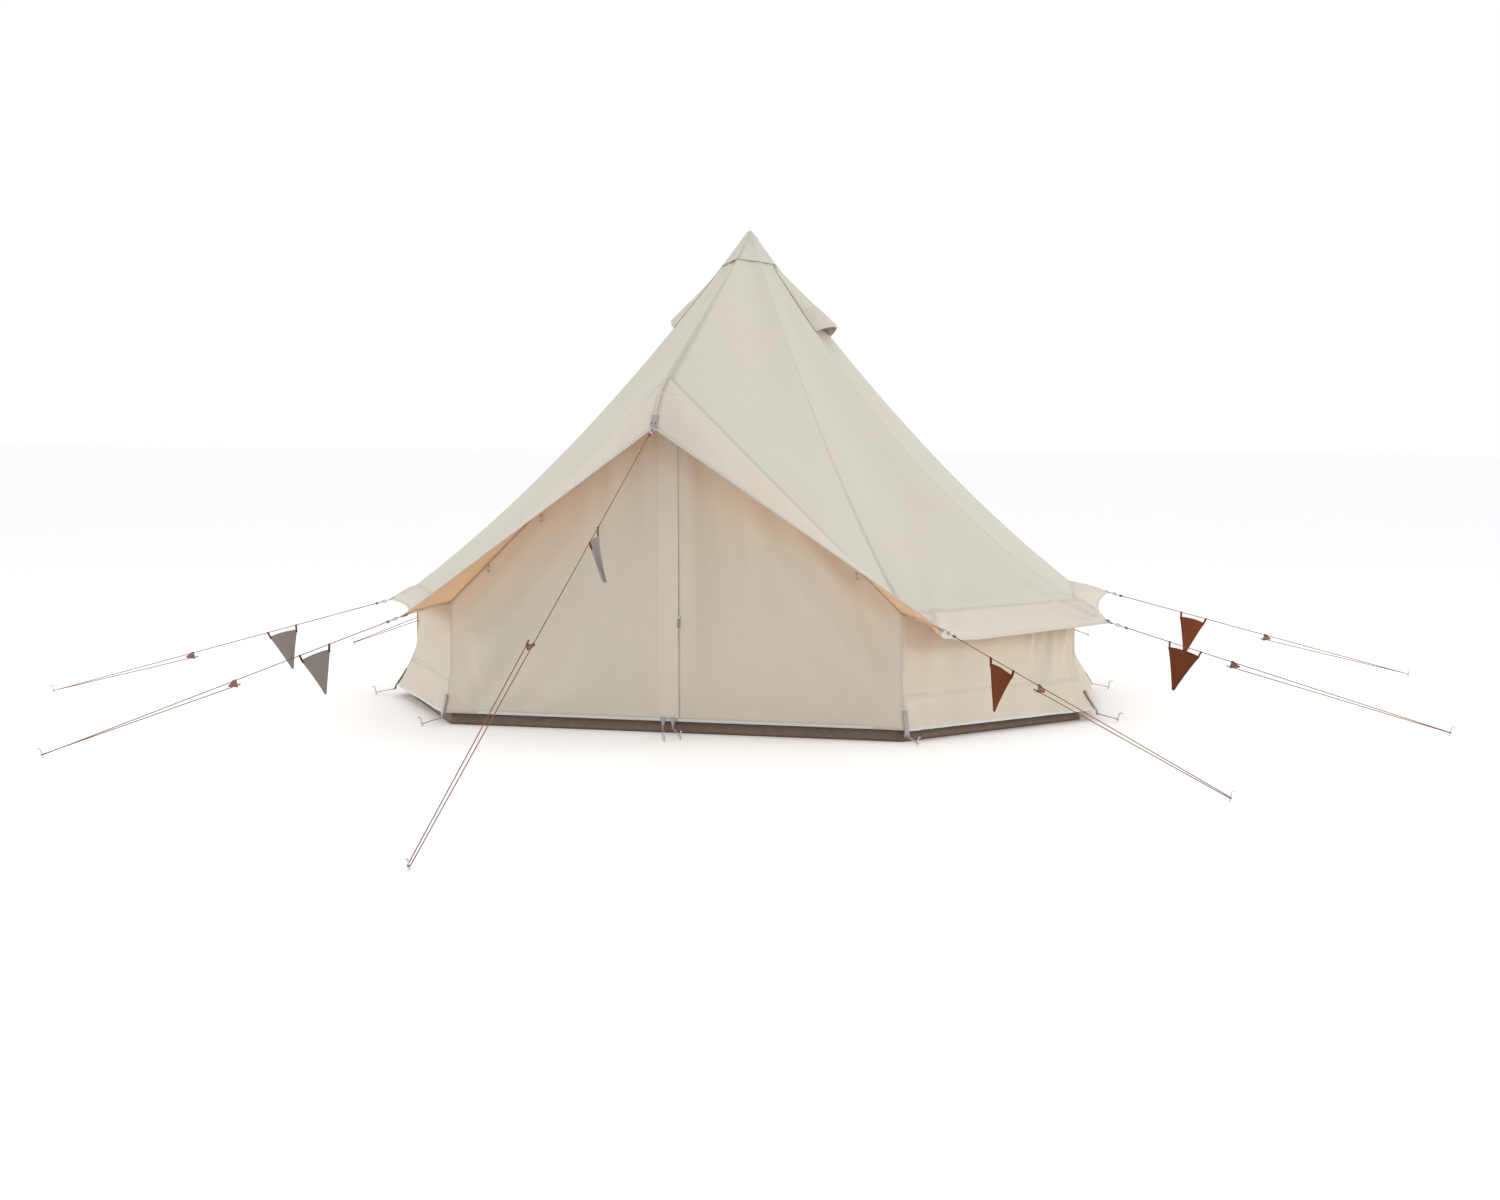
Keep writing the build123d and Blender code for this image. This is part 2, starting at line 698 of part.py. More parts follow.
def pennant(k):
    """A leather or felt triangle that hangs from the guy line by two loops."""
    start, along, _, sideways = line_frame(k)
    centre = start + along * PENNANT_AT[k]
    down = (Vector(0, 0, -1) + along * along.Z).normalized()
    plane = Plane(origin=centre - sideways * (PENNANT_T / 2), x_dir=along, z_dir=along.cross(down))
    if plane.z_dir.dot(sideways) < 0:
        plane = Plane(origin=centre + sideways * (PENNANT_T / 2), x_dir=along, z_dir=along.cross(down))
    half = PENNANT_WIDTH / 2
    outline = Polyline((-half, PENNANT_HANG), (half, PENNANT_HANG), (5, PENNANT_HANG + PENNANT_DROP),
                       (-5, PENNANT_HANG + PENNANT_DROP), close=True)
    body = extrude(plane * make_face(outline), amount=PENNANT_T)
    for x in (-LOOP_X, LOOP_X):
        spot = centre + along * x
        body += rod(spot - along * 4, spot + along * 4, EYE_R + 2)
        body += rod(spot + down * 3.5, spot + down * (PENNANT_HANG + 3), LOOP_R)
    body -= rod(centre - along * 100, centre + along * 100, EYE_R)
    return body.solid()


# --- writing the nodes ---------------------------------------------------------------------

def main():
    os.makedirs("parts", exist_ok=True)
    write("roof_side_panels", side_roof())
    write("roof_front_panels", front_roof())
    write("door_porch", door_porch())
    write("apex_cap", apex_cap())
    write("vent_meshes", [vent_mesh(a, b) for a, b in VENT_PAIRS])
    write("vent_hoods", [strip for a, b in VENT_PAIRS for strip in vent_hood(a, b)])
    write("eave_flaps", eave_flaps())
    write("side_walls", side_walls())
    write("wall_skirts", wall_skirts())
    write("door_side_panels", door_side_panels())
    write("door_leaf_left", [door_leaf_left()])
    write("door_leaf_right", [door_leaf_right()])
    zip_parts()
    write("door_toggles", door_toggles())
    groundsheet()
    centre_pole()
    a_frame()
    write("tip_webbing", [webbing_tab(k) for k in GUYS])
    write("tip_rings", [ring(k) for k in GUYS])
    write("guy_hooks", [hook(k) for k in GUYS])
    write("guy_pegs", [guy_peg(k) for k in GUYS])
    corner_pegs_and_ties()
    for k, name in CORNER_NAMES.items():
        write("guy_line_" + name, [guy_line(k)])
        write("tensioner_" + name, [tensioner(k)])
    for k in PENNANT_AT:
        write("pennant_" + CORNER_NAMES[k], [pennant(k)])


main()
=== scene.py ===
import bpy
import math
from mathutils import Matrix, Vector, noise


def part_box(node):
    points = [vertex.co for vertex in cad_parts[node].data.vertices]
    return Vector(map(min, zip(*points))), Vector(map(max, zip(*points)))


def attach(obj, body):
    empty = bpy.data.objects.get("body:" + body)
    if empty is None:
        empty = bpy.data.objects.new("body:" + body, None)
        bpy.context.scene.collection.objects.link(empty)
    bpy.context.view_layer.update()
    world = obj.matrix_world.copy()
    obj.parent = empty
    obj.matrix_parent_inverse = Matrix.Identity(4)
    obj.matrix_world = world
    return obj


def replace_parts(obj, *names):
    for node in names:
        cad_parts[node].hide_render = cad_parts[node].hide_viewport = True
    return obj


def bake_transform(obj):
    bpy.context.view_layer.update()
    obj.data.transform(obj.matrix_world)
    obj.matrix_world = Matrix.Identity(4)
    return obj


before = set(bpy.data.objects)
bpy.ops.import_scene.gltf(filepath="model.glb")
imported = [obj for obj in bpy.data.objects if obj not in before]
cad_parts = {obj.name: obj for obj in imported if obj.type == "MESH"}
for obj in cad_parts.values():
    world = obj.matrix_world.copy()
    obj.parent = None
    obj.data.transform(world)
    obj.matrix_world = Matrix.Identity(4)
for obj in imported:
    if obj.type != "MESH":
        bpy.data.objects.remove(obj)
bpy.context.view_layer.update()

# The bell tent's looks: its canvas, seams, webbing, cords and pennants. Metres, +Z up, the door faces -Y.

# --- sizes shared with the CAD model ---

STEP = 40                                  # degrees between the tent's corners
RIDGE_TOP = (0.045, 2.440)                 # radius and height of the roof's upper edge
DOOR_RIDGE = (1.390, 1.720)                # the A-frame's peak
WALL_TOP = 0.605
SKIRT_TOP = 0.210
SKIRT_END = 0.055
FRONT_R, SIDE_R = 1.785, 1.820             # wall radius at the two front corners and at the others
FRONT_SKIRT_R, SIDE_SKIRT_R = 1.830, 1.940
RIDGE_SAG = 0.125
DOOR_Y = -1.385
SPLIT_X = 0.043
LEAF_END = 0.070
VENT = (0.130, 0.185, 0.25, 0.75)          # the vent's opening: along the seams, then across
CORD_D = 0.004
PEG_R = 0.003
HOOK_START, HOOK_LENGTH = 0.028, 0.058
STRAND_GAP = 0.026
TAIL = 0.016
WRAP = PEG_R + CORD_D / 2 + 0.0004
PEG_CORD_Z = 0.016

# Corner: azimuth, radius and height of the eave's tip, azimuth and radius of its peg
GUYS = {
    0: (0, 1.615, 1.475, 2.7, 4.950),
    1: (41.7, 2.080, 0.550, 46.2, 3.880),
    2: (80, 2.015, 0.495, 83.3, 3.650),
    3: (120, 2.050, 0.540, 122.4, 3.980),
    4: (160, 2.030, 0.540, 163, 4.165),
    -1: (-40, 2.050, 0.550, -39.4, 3.850),
    -2: (-79, 1.960, 0.525, -77.9, 3.830),
    -3: (-120, 2.030, 0.540, -122.4, 3.945),
    -4: (-160, 2.030, 0.540, -160, 3.900),
}
TENSIONER_AT = {0: 2.075, 1: 0.675, 2: 0.620, 3: 1.020, 4: 1.000, -1: 0.905, -2: 1.125, -3: 0.900, -4: 1.000}
PENNANT_AT = {0: 1.120, 1: 0.425, 2: 0.385, 3: 0.550, -1: 0.485, -2: 0.620}
NAMES = {
    0: "door", 1: "front_right", 2: "right", 3: "back_right", 4: "rear_right",
    -1: "front_left", -2: "left", -3: "back_left", -4: "rear_left",
}
RING = [-1, 0, 1, 2, 3, 4, -4, -3, -2]     # all the corners, round the tent
CORNERS = [1, 2, 3, 4, -4, -3, -2, -1]     # the walls' corners
SIDE_PAIRS = list(zip(CORNERS, CORNERS[1:]))
VENT_PAIRS = [(2, 3), (4, -4), (-3, -2)]
X, Y, UP = Vector((1, 0, 0)), Vector((0, 1, 0)), Vector((0, 0, 1))
FRONT = -Y


def polar(radius, azimuth, z):
    a = math.radians(azimuth)
    return Vector((radius * math.sin(a), -radius * math.cos(a), z))


def mix(a, b, t):
    return a + (b - a) * t


def smooth(low, high, x):
    t = min(1, max(0, (x - low) / (high - low)))
    return t * t * (3 - 2 * t)


def spread(count):
    return [i / (count - 1) for i in range(count)]


def swell(t):
    """A half wave: 0 at both ends, 1 in the middle."""
    return math.sin(math.pi * t)


def ripple(x, y, seed):
    """Smooth noise between about -1 and 1."""
    return noise.noise(Vector((x, y, seed * 7.3)))


def level(v):
    """The direction of v, level with the ground."""
    return Vector((v.x, v.y, 0)).normalized()


def tip(k):
    azimuth, radius, z, _, _ = GUYS[k]
    return polar(radius, azimuth, z)


def line_frame(k):
    """A guy line's start, direction, length and sideways direction."""
    start = tip(k)
    end = polar(GUYS[k][4], GUYS[k][3], PEG_CORD_Z)
    along = (end - start).normalized()
    return start, along, (end - start).length, along.cross(UP).normalized()


def return_side(k):
    """Beside the tensioner, from the running strand to the returning one: level at the door, else down."""
    _, along, _, side = line_frame(k)
    return side if k == 0 else along.cross(side)


# --- camera ---

EYE = Vector((3.708, -12.663, 1.6175))
CAMERA_AZIMUTH = 16.32
CAMERA_PITCH = 4.68
LENS = 59.35


def add_camera():
    data = bpy.data.cameras.new("camera")
    data.lens = LENS
    data.sensor_width = 36
    data.clip_end = 200
    camera = bpy.data.objects.new("camera", data)
    camera.location = EYE
    camera.rotation_euler = (math.radians(90 - CAMERA_PITCH), 0, math.radians(CAMERA_AZIMUTH))
    bpy.context.scene.collection.objects.link(camera)
    bpy.context.scene.camera = camera


add_camera()


# --- materials ---

def rgb(r, g, b):
    return (r, g, b, 1)


def shade(colour, k, lift=0.0):
    """A darker or paler colour."""
    return tuple(min(1, c * k + lift) for c in colour[:3]) + (1,)


class Nodes:
    """A material under construction: makes nodes and links by name."""

    def __init__(self, name):
        self.material = bpy.data.materials.new(name)
        self.material.use_nodes = True
        self.tree = self.material.node_tree
        self.tree.nodes.clear()
        self.output = self.tree.nodes.new("ShaderNodeOutputMaterial")

    def add(self, kind, inputs=None, **settings):
        node = self.tree.nodes.new("ShaderNode" + kind)
        for key, value in settings.items():
            setattr(node, key, value)
        for key, value in (inputs or {}).items():
            socket = node.inputs[key]
            if isinstance(value, bpy.types.NodeSocket):
                self.tree.links.new(value, socket)
            else:
                socket.default_value = value
        return node

    def uv(self):
        return self.add("UVMap", uv_map="cloth").outputs["UV"]

    def place(self):
        return self.add("TexCoord").outputs["Object"]

    def axes(self, coords):
        return self.add("SeparateXYZ", {"Vector": coords}).outputs

    def turned(self, coords, **mapping):
        return self.add("Mapping", {"Vector": coords, **mapping}).outputs["Vector"]

    def math(self, operation, a, b=0.0):
        return self.add("Math", {0: a, 1: b}, operation=operation).outputs[0]

    def plus(self, a, b):
        return self.math("ADD", a, b)

    def minus(self, a, b):
        return self.math("SUBTRACT", a, b)

    def times(self, a, b):
        return self.math("MULTIPLY", a, b)

    def blend(self, factor, a, b):
        return self.add("Mix", {0: factor, 6: a, 7: b}, data_type="RGBA").outputs[2]

    def noise(self, coords, scale, detail=3.0, rough=0.55):
        inputs = {"Vector": coords, "Scale": scale, "Detail": detail, "Roughness": rough}
        return self.add("TexNoise", inputs).outputs["Fac"]

    def cells(self, coords, scale, **settings):
        return self.add("TexVoronoi", {"Vector": coords, "Scale": scale}, **settings).outputs["Distance"]

    def mask(self, value, low, high, full=1.0, start=0.0):
        """start up to low, full from high on, and a straight climb between them."""
        node = self.add("ValToRGB", {"Fac": value})
        for i, position, grey in ((0, low, start), (1, high, full)):
            node.color_ramp.elements[i].position = position
            node.color_ramp.elements[i].color = rgb(grey, grey, grey)
        return node.outputs["Color"]

    def surface(self, tint, rough, height, strength, depth, more=None):
        """The shader with its bump, depth in metres. more is other sockets, set directly."""
        bump = self.add("Bump", {"Height": height, "Strength": strength, "Distance": depth})
        inputs = {"Base Color": tint, "Roughness": rough, "Normal": bump.outputs[0], **(more or {})}
        return self.add("BsdfPrincipled", inputs).outputs[0]

    def finish(self, shader):
        self.tree.links.new(shader, self.output.inputs["Surface"])
        return self.material


def weave(n, coords, pitch):
    """Height of a plain weave whose threads are pitch apart: 0 to 1."""
    axes = n.axes(coords)
    across, along = (n.math("SINE", n.times(axes[axis], 2 * math.pi / pitch)) for axis in "XY")
    return n.plus(n.times(n.times(across, along), 0.5), 0.5)


STITCH_PITCH = 0.0042
STITCH_HALF = 0.00045                      # half a thread's width


def stitches(n, coords, rows):
    """1 on the threads of rows of stitches that run along V, at the given places across U."""
    axes = n.axes(coords)
    dash = n.math("GREATER_THAN", n.math("SINE", n.times(axes["Y"], 2 * math.pi / STITCH_PITCH)), -0.35)
    total = None
    for at in rows:
        near = n.math("LESS_THAN", n.math("ABSOLUTE", n.minus(axes["X"], at)), STITCH_HALF)
        one = n.times(near, dash)
        total = one if total is None else n.math("MAXIMUM", total, one)
    return total


# Painted light: a warm tint that stands in for the glow under the eaves and the porch.
EAVE_GLOW_PAINT = rgb(0.850, 0.650, 0.450)            # canvas with light from the eaves above it
GLOW = rgb(1.00, 0.60, 0.30)               # light that has come through canvas
SOIL = rgb(0.50, 0.44, 0.36)
THREAD = rgb(0.50, 0.45, 0.37)


def canvas(name, colour, translucent, stitch_rows=(), dirt=0.0, painted_glow_from=None):
    """Woven cotton canvas: threads with painted shade in their hollows, slubs, mottling, light that comes
    through it, and a painted warm glow.

    The last argument is the height where the painted warm glow of the eaves begins, the height where it is
    full, and how much a metre to the side adds to a point's height.
    """
    n = Nodes(name)
    uv, place = n.uv(), n.place()
    threads = weave(n, uv, 0.0016)
    slubs = n.noise(n.turned(uv, Scale=(60, 900, 1)), 1.0, 2.0)
    cross_slubs = n.noise(n.turned(uv, Scale=(900, 60, 1)), 1.0, 2.0)
    mottle = n.noise(place, 1.7, 4.0, 0.6)
    patches = n.noise(place, 9.0, 5.0, 0.6)
    dark = shade(colour, 0.93)
    warmer = (colour[0] * 1.02, colour[1] * 0.985, colour[2] * 0.94, 1)
    tint = n.blend(n.mask(mottle, 0.35, 0.65), colour, warmer)
    tint = n.blend(n.times(patches, 0.25), tint, dark)
    # Painted shade: darker where the weave's threads dip, in its hollows.
    tint = n.blend(n.times(n.minus(1.0, threads), 0.20), tint, dark)
    tint = n.blend(n.mask(slubs, 0.58, 0.72, 0.35), tint, dark)
    height = n.plus(threads, n.times(n.plus(slubs, cross_slubs), 0.9))
    axes = n.axes(place)
    if painted_glow_from:
        low, high, slope = painted_glow_from
        rise = n.plus(axes["Z"], n.times(n.math("ABSOLUTE", axes["X"]), slope))
        rise = n.times(n.minus(rise, low), 1 / (high - low))
        rise = n.plus(rise, n.times(n.minus(mottle, 0.5), 0.8))
        # Painted light: the warm eave glow, blended in more the higher a point is (and, on the door, the
        # farther to the side).
        tint = n.blend(n.mask(rise, 0, 1), tint, EAVE_GLOW_PAINT)
    if dirt:
        above = n.plus(n.times(axes["Z"], 2.4), n.times(patches, 0.25))
        tint = n.blend(n.mask(above, 0.10, 0.62, 0.0, dirt), tint, SOIL)
    if stitch_rows:
        thread = stitches(n, uv, stitch_rows)
        tint = n.blend(n.times(thread, 0.55), tint, THREAD)
        height = n.plus(height, n.times(thread, 1.6))
    surface = n.surface(tint, 0.92, height, 0.35, 0.0006,
                        {"Sheen Weight": 0.15, "Sheen Roughness": 0.6, "Specular IOR Level": 0.2})
    through = n.add("BsdfTranslucent", {"Color": n.blend(0.85, tint, GLOW)})
    both = n.add("MixShader", {0: translucent, 1: surface, 2: through.outputs[0]})
    return n.finish(both.outputs[0])


def webbing_material(name, colour, pitch=0.003):
    """Flat woven strap: ribs across it, with painted shade in the grooves between them."""
    n = Nodes(name)
    uv = n.uv()
    ribs = weave(n, uv, pitch)
    dark = shade(colour, 0.55)
    # Painted shade: darker in the grooves between the ribs.
    tint = n.blend(n.times(n.minus(1.0, ribs), 0.55), colour, dark)
    tint = n.blend(n.times(n.noise(uv, 700, 2.0), 0.25), tint, dark)
    return n.finish(n.surface(tint, 0.75, ribs, 0.6, 0.0008, {"Sheen Weight": 0.2}))


def coated(name, colour, rough):
    """Coated cloth or plastic: a fine weave under a skin, with scuffs and dust."""
    n = Nodes(name)
    place = n.place()
    scuff = n.noise(place, 35, 6.0, 0.65)
    pale = shade(colour, 1.45, 0.04)
    tint = n.blend(n.mask(scuff, 0.45, 0.75, 0.5), colour, pale)
    tint = n.blend(n.times(n.noise(place, 4, 4.0), 0.3), tint, pale)
    height = n.plus(weave(n, place, 0.0022), scuff)
    roughness = n.plus(rough, n.times(scuff, 0.25))
    return n.finish(n.surface(tint, roughness, height, 0.25, 0.0007, {"Specular IOR Level": 0.3}))


def metal(name, colour, rough, streak=40.0):
    """Zinc-plated or galvanised steel: spangle, fine streaks and dull patches."""
    n = Nodes(name)
    place = n.place()
    haze = n.noise(place, streak, 5.0, 0.6)
    dull = shade(colour, 0.6)
    tint = n.blend(n.times(haze, 0.7), colour, dull)
    tint = n.blend(n.times(n.cells(place, 160.0), 0.35), tint, dull)
    roughness = n.plus(rough, n.times(haze, 0.3))
    return n.finish(n.surface(tint, roughness, haze, 0.15, 0.0004, {"Metallic": 1.0}))


def leather_material(name, colour):
    """Vegetable-tanned leather: pebbled grain, creases, a darker edge tone in patches."""
    n = Nodes(name)
    place = n.place()
    pebbles = n.cells(place, 650.0, feature="DISTANCE_TO_EDGE")
    creases = n.noise(place, 60, 6.0, 0.7)
    tint = n.blend(n.mask(n.noise(place, 14, 4.0), 0.35, 0.75, 0.55), colour, shade(colour, 0.45))
    tint = n.blend(n.mask(creases, 0.58, 0.75, 0.4), tint, shade(colour, 1.5))
    height = n.plus(n.times(pebbles, 3.0), creases)
    return n.finish(n.surface(tint, 0.78, height, 0.45, 0.0006, {"Specular IOR Level": 0.15}))


def felt_material(name, colour):
    """Wool felt: tangled fibres, soft sheen, uneven tone."""
    n = Nodes(name)
    place = n.place()
    fibres = n.noise(place, 900, 6.0, 0.8)
    lumps = n.noise(place, 90, 4.0)
    tint = n.blend(fibres, shade(colour, 0.6), shade(colour, 1.3))
    tint = n.blend(n.times(lumps, 0.5), tint, colour)
    return n.finish(n.surface(tint, 0.95, n.plus(fibres, lumps), 0.5, 0.001, {"Sheen Weight": 0.4}))


def wood_material(name, colour):
    """Oiled wood: long upright grain, pores and darker rings."""
    n = Nodes(name)
    place = n.place()
    grain = n.noise(n.turned(place, Scale=(260, 260, 40)), 1.0, 5.0, 0.6)
    dark = shade(colour, 0.45)
    tint = n.blend(n.mask(grain, 0.35, 0.7, 0.9), colour, dark)
    tint = n.blend(n.mask(n.noise(place, 1500, 2.0), 0.6, 0.75, 0.5), tint, dark)
    return n.finish(n.surface(tint, 0.55, grain, 0.3, 0.0005, {"Coat Weight": 0.15}))


def cord_material(name, colour, fleck):
    """Braided cord: small crossing strands with lighter flecks."""
    n = Nodes(name)
    place = n.place()
    braid = n.cells(n.turned(place, Rotation=(0.6, 0.7, 0.8)), 620.0)
    tint = n.blend(n.mask(braid, 0.2, 0.6, 0.8), colour, shade(colour, 0.5))
    tint = n.blend(n.mask(n.noise(place, 240, 2.0), 0.58, 0.64, 0.7), tint, fleck)
    return n.finish(n.surface(tint, 0.8, braid, 0.6, 0.0006))


CREAM = rgb(0.640, 0.662, 0.605)
# The walls' and door's canvas: the roof's canvas made warmer and a little darker, painted shade for walls
# out of the light.
PAINTED_SHADE_CANVAS = rgb(0.655, 0.648, 0.562)
MATERIALS = {
    "roof": canvas("roof_canvas", CREAM, 0.25),
    # The canvas's inner faces: the same canvas tinted orange, a painted glow for light that comes through
    # it.
    "inside": canvas("inside_glow_canvas", rgb(0.790, 0.580, 0.380), 0.25),
    "wall": canvas("wall_canvas", PAINTED_SHADE_CANVAS, 0.25, dirt=0.10, painted_glow_from=(0.34, 0.70, 0)),
    "door": canvas("door_canvas", PAINTED_SHADE_CANVAS, 0.25, dirt=0.10, painted_glow_from=(1.10, 1.78, 0.69)),
    # The zip's cover flap: the same canvas made paler, painted light for the flap that stands out brighter
    # than the door.
    "flap": canvas("flap_canvas", rgb(0.700, 0.680, 0.590), 0.25, (-0.030, -0.012, 0.031),
                   painted_glow_from=(1.10, 1.85, 0)),
    "seam": canvas("seam_canvas", rgb(0.620, 0.612, 0.545), 0.22, (0.003, 0.011)),
    "hem": canvas("hem_tape", rgb(0.520, 0.500, 0.455), 0.02, (0.0035, 0.0105)),
    "trim": webbing_material("foot_trim", rgb(0.660, 0.650, 0.630)),
    "webbing": webbing_material("grey_webbing", rgb(0.400, 0.375, 0.370)),
    "groundsheet": coated("groundsheet_coated", rgb(0.125, 0.088, 0.066), 0.45),
    "plastic": coated("dark_plastic", rgb(0.030, 0.028, 0.028), 0.35),
    "steel": metal("zinc_steel", rgb(0.70, 0.70, 0.72), 0.28),
    "pole": metal("galvanised_tube", rgb(0.62, 0.63, 0.64), 0.38, 18.0),
    "cord": cord_material("guy_cord", rgb(0.250, 0.076, 0.036), rgb(0.36, 0.16, 0.09)),
    "elastic": cord_material("tie_cord", rgb(0.46, 0.42, 0.38), rgb(0.75, 0.72, 0.68)),
    "leather": leather_material("rust_leather", rgb(0.150, 0.038, 0.012)),
    "strap": leather_material("dark_leather", rgb(0.150, 0.032, 0.014)),
    "felt": felt_material("grey_felt", rgb(0.215, 0.180, 0.160)),
    "wood": wood_material("tensioner_wood", rgb(0.250, 0.115, 0.085)),
    "pull": wood_material("pull_wood", rgb(0.420, 0.210, 0.100)),
    # Zip tape and teeth: a warm brown that is partly their own colour and partly painted shade, the warm
    # shade in the gap beside the flap.
    "zip": webbing_material("zip_tape", rgb(0.50, 0.38, 0.25), 0.0016),
    "teeth": coated("zip_teeth", rgb(0.58, 0.44, 0.29), 0.40),
    "mesh": webbing_material("insect_mesh", rgb(0.10, 0.075, 0.05), 0.002),
}


# --- making meshes ---

def link(name, mesh, materials, body, smooth_faces=True):
    """An object in the scene. One given no body gets no parent."""
    piece = bpy.data.objects.new(name, mesh)
    bpy.context.scene.collection.objects.link(piece)
    for material in materials:
        mesh.materials.append(MATERIALS[material])
    for polygon in mesh.polygons:
        polygon.use_smooth = smooth_faces
    if body:
        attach(piece, body)
    return piece


def thicken(piece, thickness):
    solid = piece.modifiers.new("thickness", "SOLIDIFY")
    solid.thickness = thickness
    return solid


def beveled(piece, width, segments=3):
    bevel = piece.modifiers.new("bevel", "BEVEL")
    bevel.width = width
    bevel.segments = segments
    bevel.limit_method = "ANGLE"
    return piece


def lengths(points):
    """Distance along a row of points, from its first one."""
    total, found = 0.0, [0.0]
    for a, b in zip(points, points[1:]):
        total += (b - a).length
        found.append(total)
    return found


def faces_out(grid):
    """Whether a grid's faces, taken down its rows and then across, look away from the centre pole."""
    total = 0.0
    for i in range(len(grid) - 1):
        for j in range(len(grid[0]) - 1):
            corner = grid[i][j]
            normal = (grid[i + 1][j] - corner).cross(grid[i][j + 1] - corner)
            total += normal.x * corner.x + normal.y * corner.y + normal.z * corner.xy.length * 0.5
    return total > 0


def cloth_mesh(name, grids, hole=None, centred=True):
    """One mesh of several grids of points, its area, and its width and length.

    UVs are in metres: U across the rows, V down the columns.
    """
    mesh = bpy.data.meshes.new(name)
    vertices, faces, uvs = [], [], []
    area, width, length = 0.0, 0.0, 0.0
    for g, grid in enumerate(grids):
        base = len(vertices)
        order = (0, 1, 2, 3) if faces_out(grid) else (3, 2, 1, 0)
        rows, columns = len(grid), len(grid[0])
        middle = lengths([row[columns // 2] for row in grid])
        across = [lengths(row) for row in grid]
        for row in grid:
            vertices.extend(row)
        for i in range(rows - 1):
            for j in range(columns - 1):
                if hole and hole(g, (i + 0.5) / (rows - 1), (j + 0.5) / (columns - 1)):
                    continue
                ring = [(i, j), (i + 1, j), (i + 1, j + 1), (i, j + 1)]
                corners = [ring[n] for n in order]
                faces.append([base + r * columns + c for r, c in corners])
                for r, c in corners:
                    shift = across[r][-1] / 2 if centred else 0
                    uvs.append((across[r][c] - shift, middle[r]))
                a, b, c, d = (grid[r][s] for r, s in corners)
                area += ((b - a).cross(c - a).length + (c - a).cross(d - a).length) / 2
        width += max(row[-1] for row in across)
        length = max(length, max(lengths([row[j] for row in grid])[-1] for j in range(columns)))
    mesh.from_pydata(vertices, [], faces)
    layer = mesh.uv_layers.new(name="cloth")
    for loop, uv in zip(layer.data, uvs):
        loop.uv = uv
    mesh.update()
    return mesh, area, (width, length)


def cloth(name, grids, material, body, slot, held, rests_on, replaces, hole=None, thickness=0.0012):
    """A sheet of cloth from grids of points: the mesh, its thickness and its body."""
    mesh, area, flat = cloth_mesh(name, grids, hole)
    # Inner faces of roof, walls and door take the orange inside material: painted glow.
    inside = "inside" if material in ("roof", "wall", "door") else material
    piece = link(name, mesh, [material, inside], body)
    solid = thicken(piece, thickness)
    solid.offset = 0
    solid.material_offset = 1
    min(area, flat[0] * flat[1])
    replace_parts(piece, *replaces)
    return piece


def ribbons(name, strips, material, body, centred=False):
    """Narrow sewn strips. Each one is a list of sections, and a section is a row of points across it."""
    mesh, _, _ = cloth_mesh(name, strips, centred=centred)
    return link(name, mesh, [material], body)


def solids(name, parts, material, body, smooth_faces=True):
    """One mesh of several lists of vertices and faces."""
    mesh = bpy.data.meshes.new(name)
    vertices, faces = [], []
    for points, rings in parts:
        base = len(vertices)
        vertices.extend(points)
        faces.extend([[base + i for i in ring] for ring in rings])
    mesh.from_pydata(vertices, [], faces)
    layer = mesh.uv_layers.new(name="cloth")
    for loop, spot in zip(layer.data, mesh.loops):
        co = mesh.vertices[spot.vertex_index].co
        loop.uv = (co.x + co.y, co.z)
    mesh.update()
    return link(name, mesh, [material], body, smooth_faces)


def normals_along(points, hint):
    """A normal for each point of a path, square to it and turned with it, and the direction beside it."""
    found, last = [], hint
    for i, point in enumerate(points):
        ahead = points[min(i + 1, len(points) - 1)] - points[max(i - 1, 0)]
        ahead.normalize()
        last = (last - ahead * last.dot(ahead)).normalized()
        found.append((last, ahead.cross(last)))
    return found


def tube(points, radius, hint=UP, sides=10, ends=True):
    """Vertices and faces of a round bar along points. radius is one number or one for each point."""
    radii = radius if isinstance(radius, list) else [radius] * len(points)
    if abs((points[1] - points[0]).normalized().dot(hint)) > 0.95:
        hint = Vector((1, 0, 0.2))
    vertices, faces = [], []
    for point, r, (a, b) in zip(points, radii, normals_along(points, hint)):
        for s in range(sides):
            angle = 2 * math.pi * s / sides
            vertices.append(point + a * (r * math.cos(angle)) + b * (r * math.sin(angle)))
    for i in range(len(points) - 1):
        for s in range(sides):
            t = (s + 1) % sides
            faces.append([i * sides + s, i * sides + t, (i + 1) * sides + t, (i + 1) * sides + s])
    if ends:
        faces.append(list(range(sides))[::-1])
        faces.append([(len(points) - 1) * sides + s for s in range(sides)])
    return vertices, faces


def turned_bar(start, along, profile, hint, sides=14):
    """A round bar along a line. profile is pairs of a distance from the start and a radius."""
    return tube([start + along * d for d, _ in profile], [r for _, r in profile], hint=hint, sides=sides)


def plate(outline, centre, x_dir, z_dir, thickness):
    """A flat solid from an outline in its own plane."""
    y_dir = z_dir.cross(x_dir)
    vertices = [centre + x_dir * x + y_dir * y + z_dir * h
                for h in (-thickness / 2, thickness / 2) for x, y in outline]
    n = len(outline)
    faces = [list(range(n))[::-1], [n + i for i in range(n)]]
    faces += [[i, (i + 1) % n, n + (i + 1) % n, n + i] for i in range(n)]
    return vertices, faces


def rounded(width, height, radius, steps=5):
    """The outline of a rectangle with round corners, round the origin."""
    points = []
    for cx, cy, start in ((1, 1, 0), (-1, 1, 90), (-1, -1, 180), (1, -1, 270)):
        for i in range(steps + 1):
            a = math.radians(start + 90 * i / steps)
            points.append((cx * (width / 2 - radius) + radius * math.cos(a),
                           cy * (height / 2 - radius) + radius * math.sin(a)))
    return points


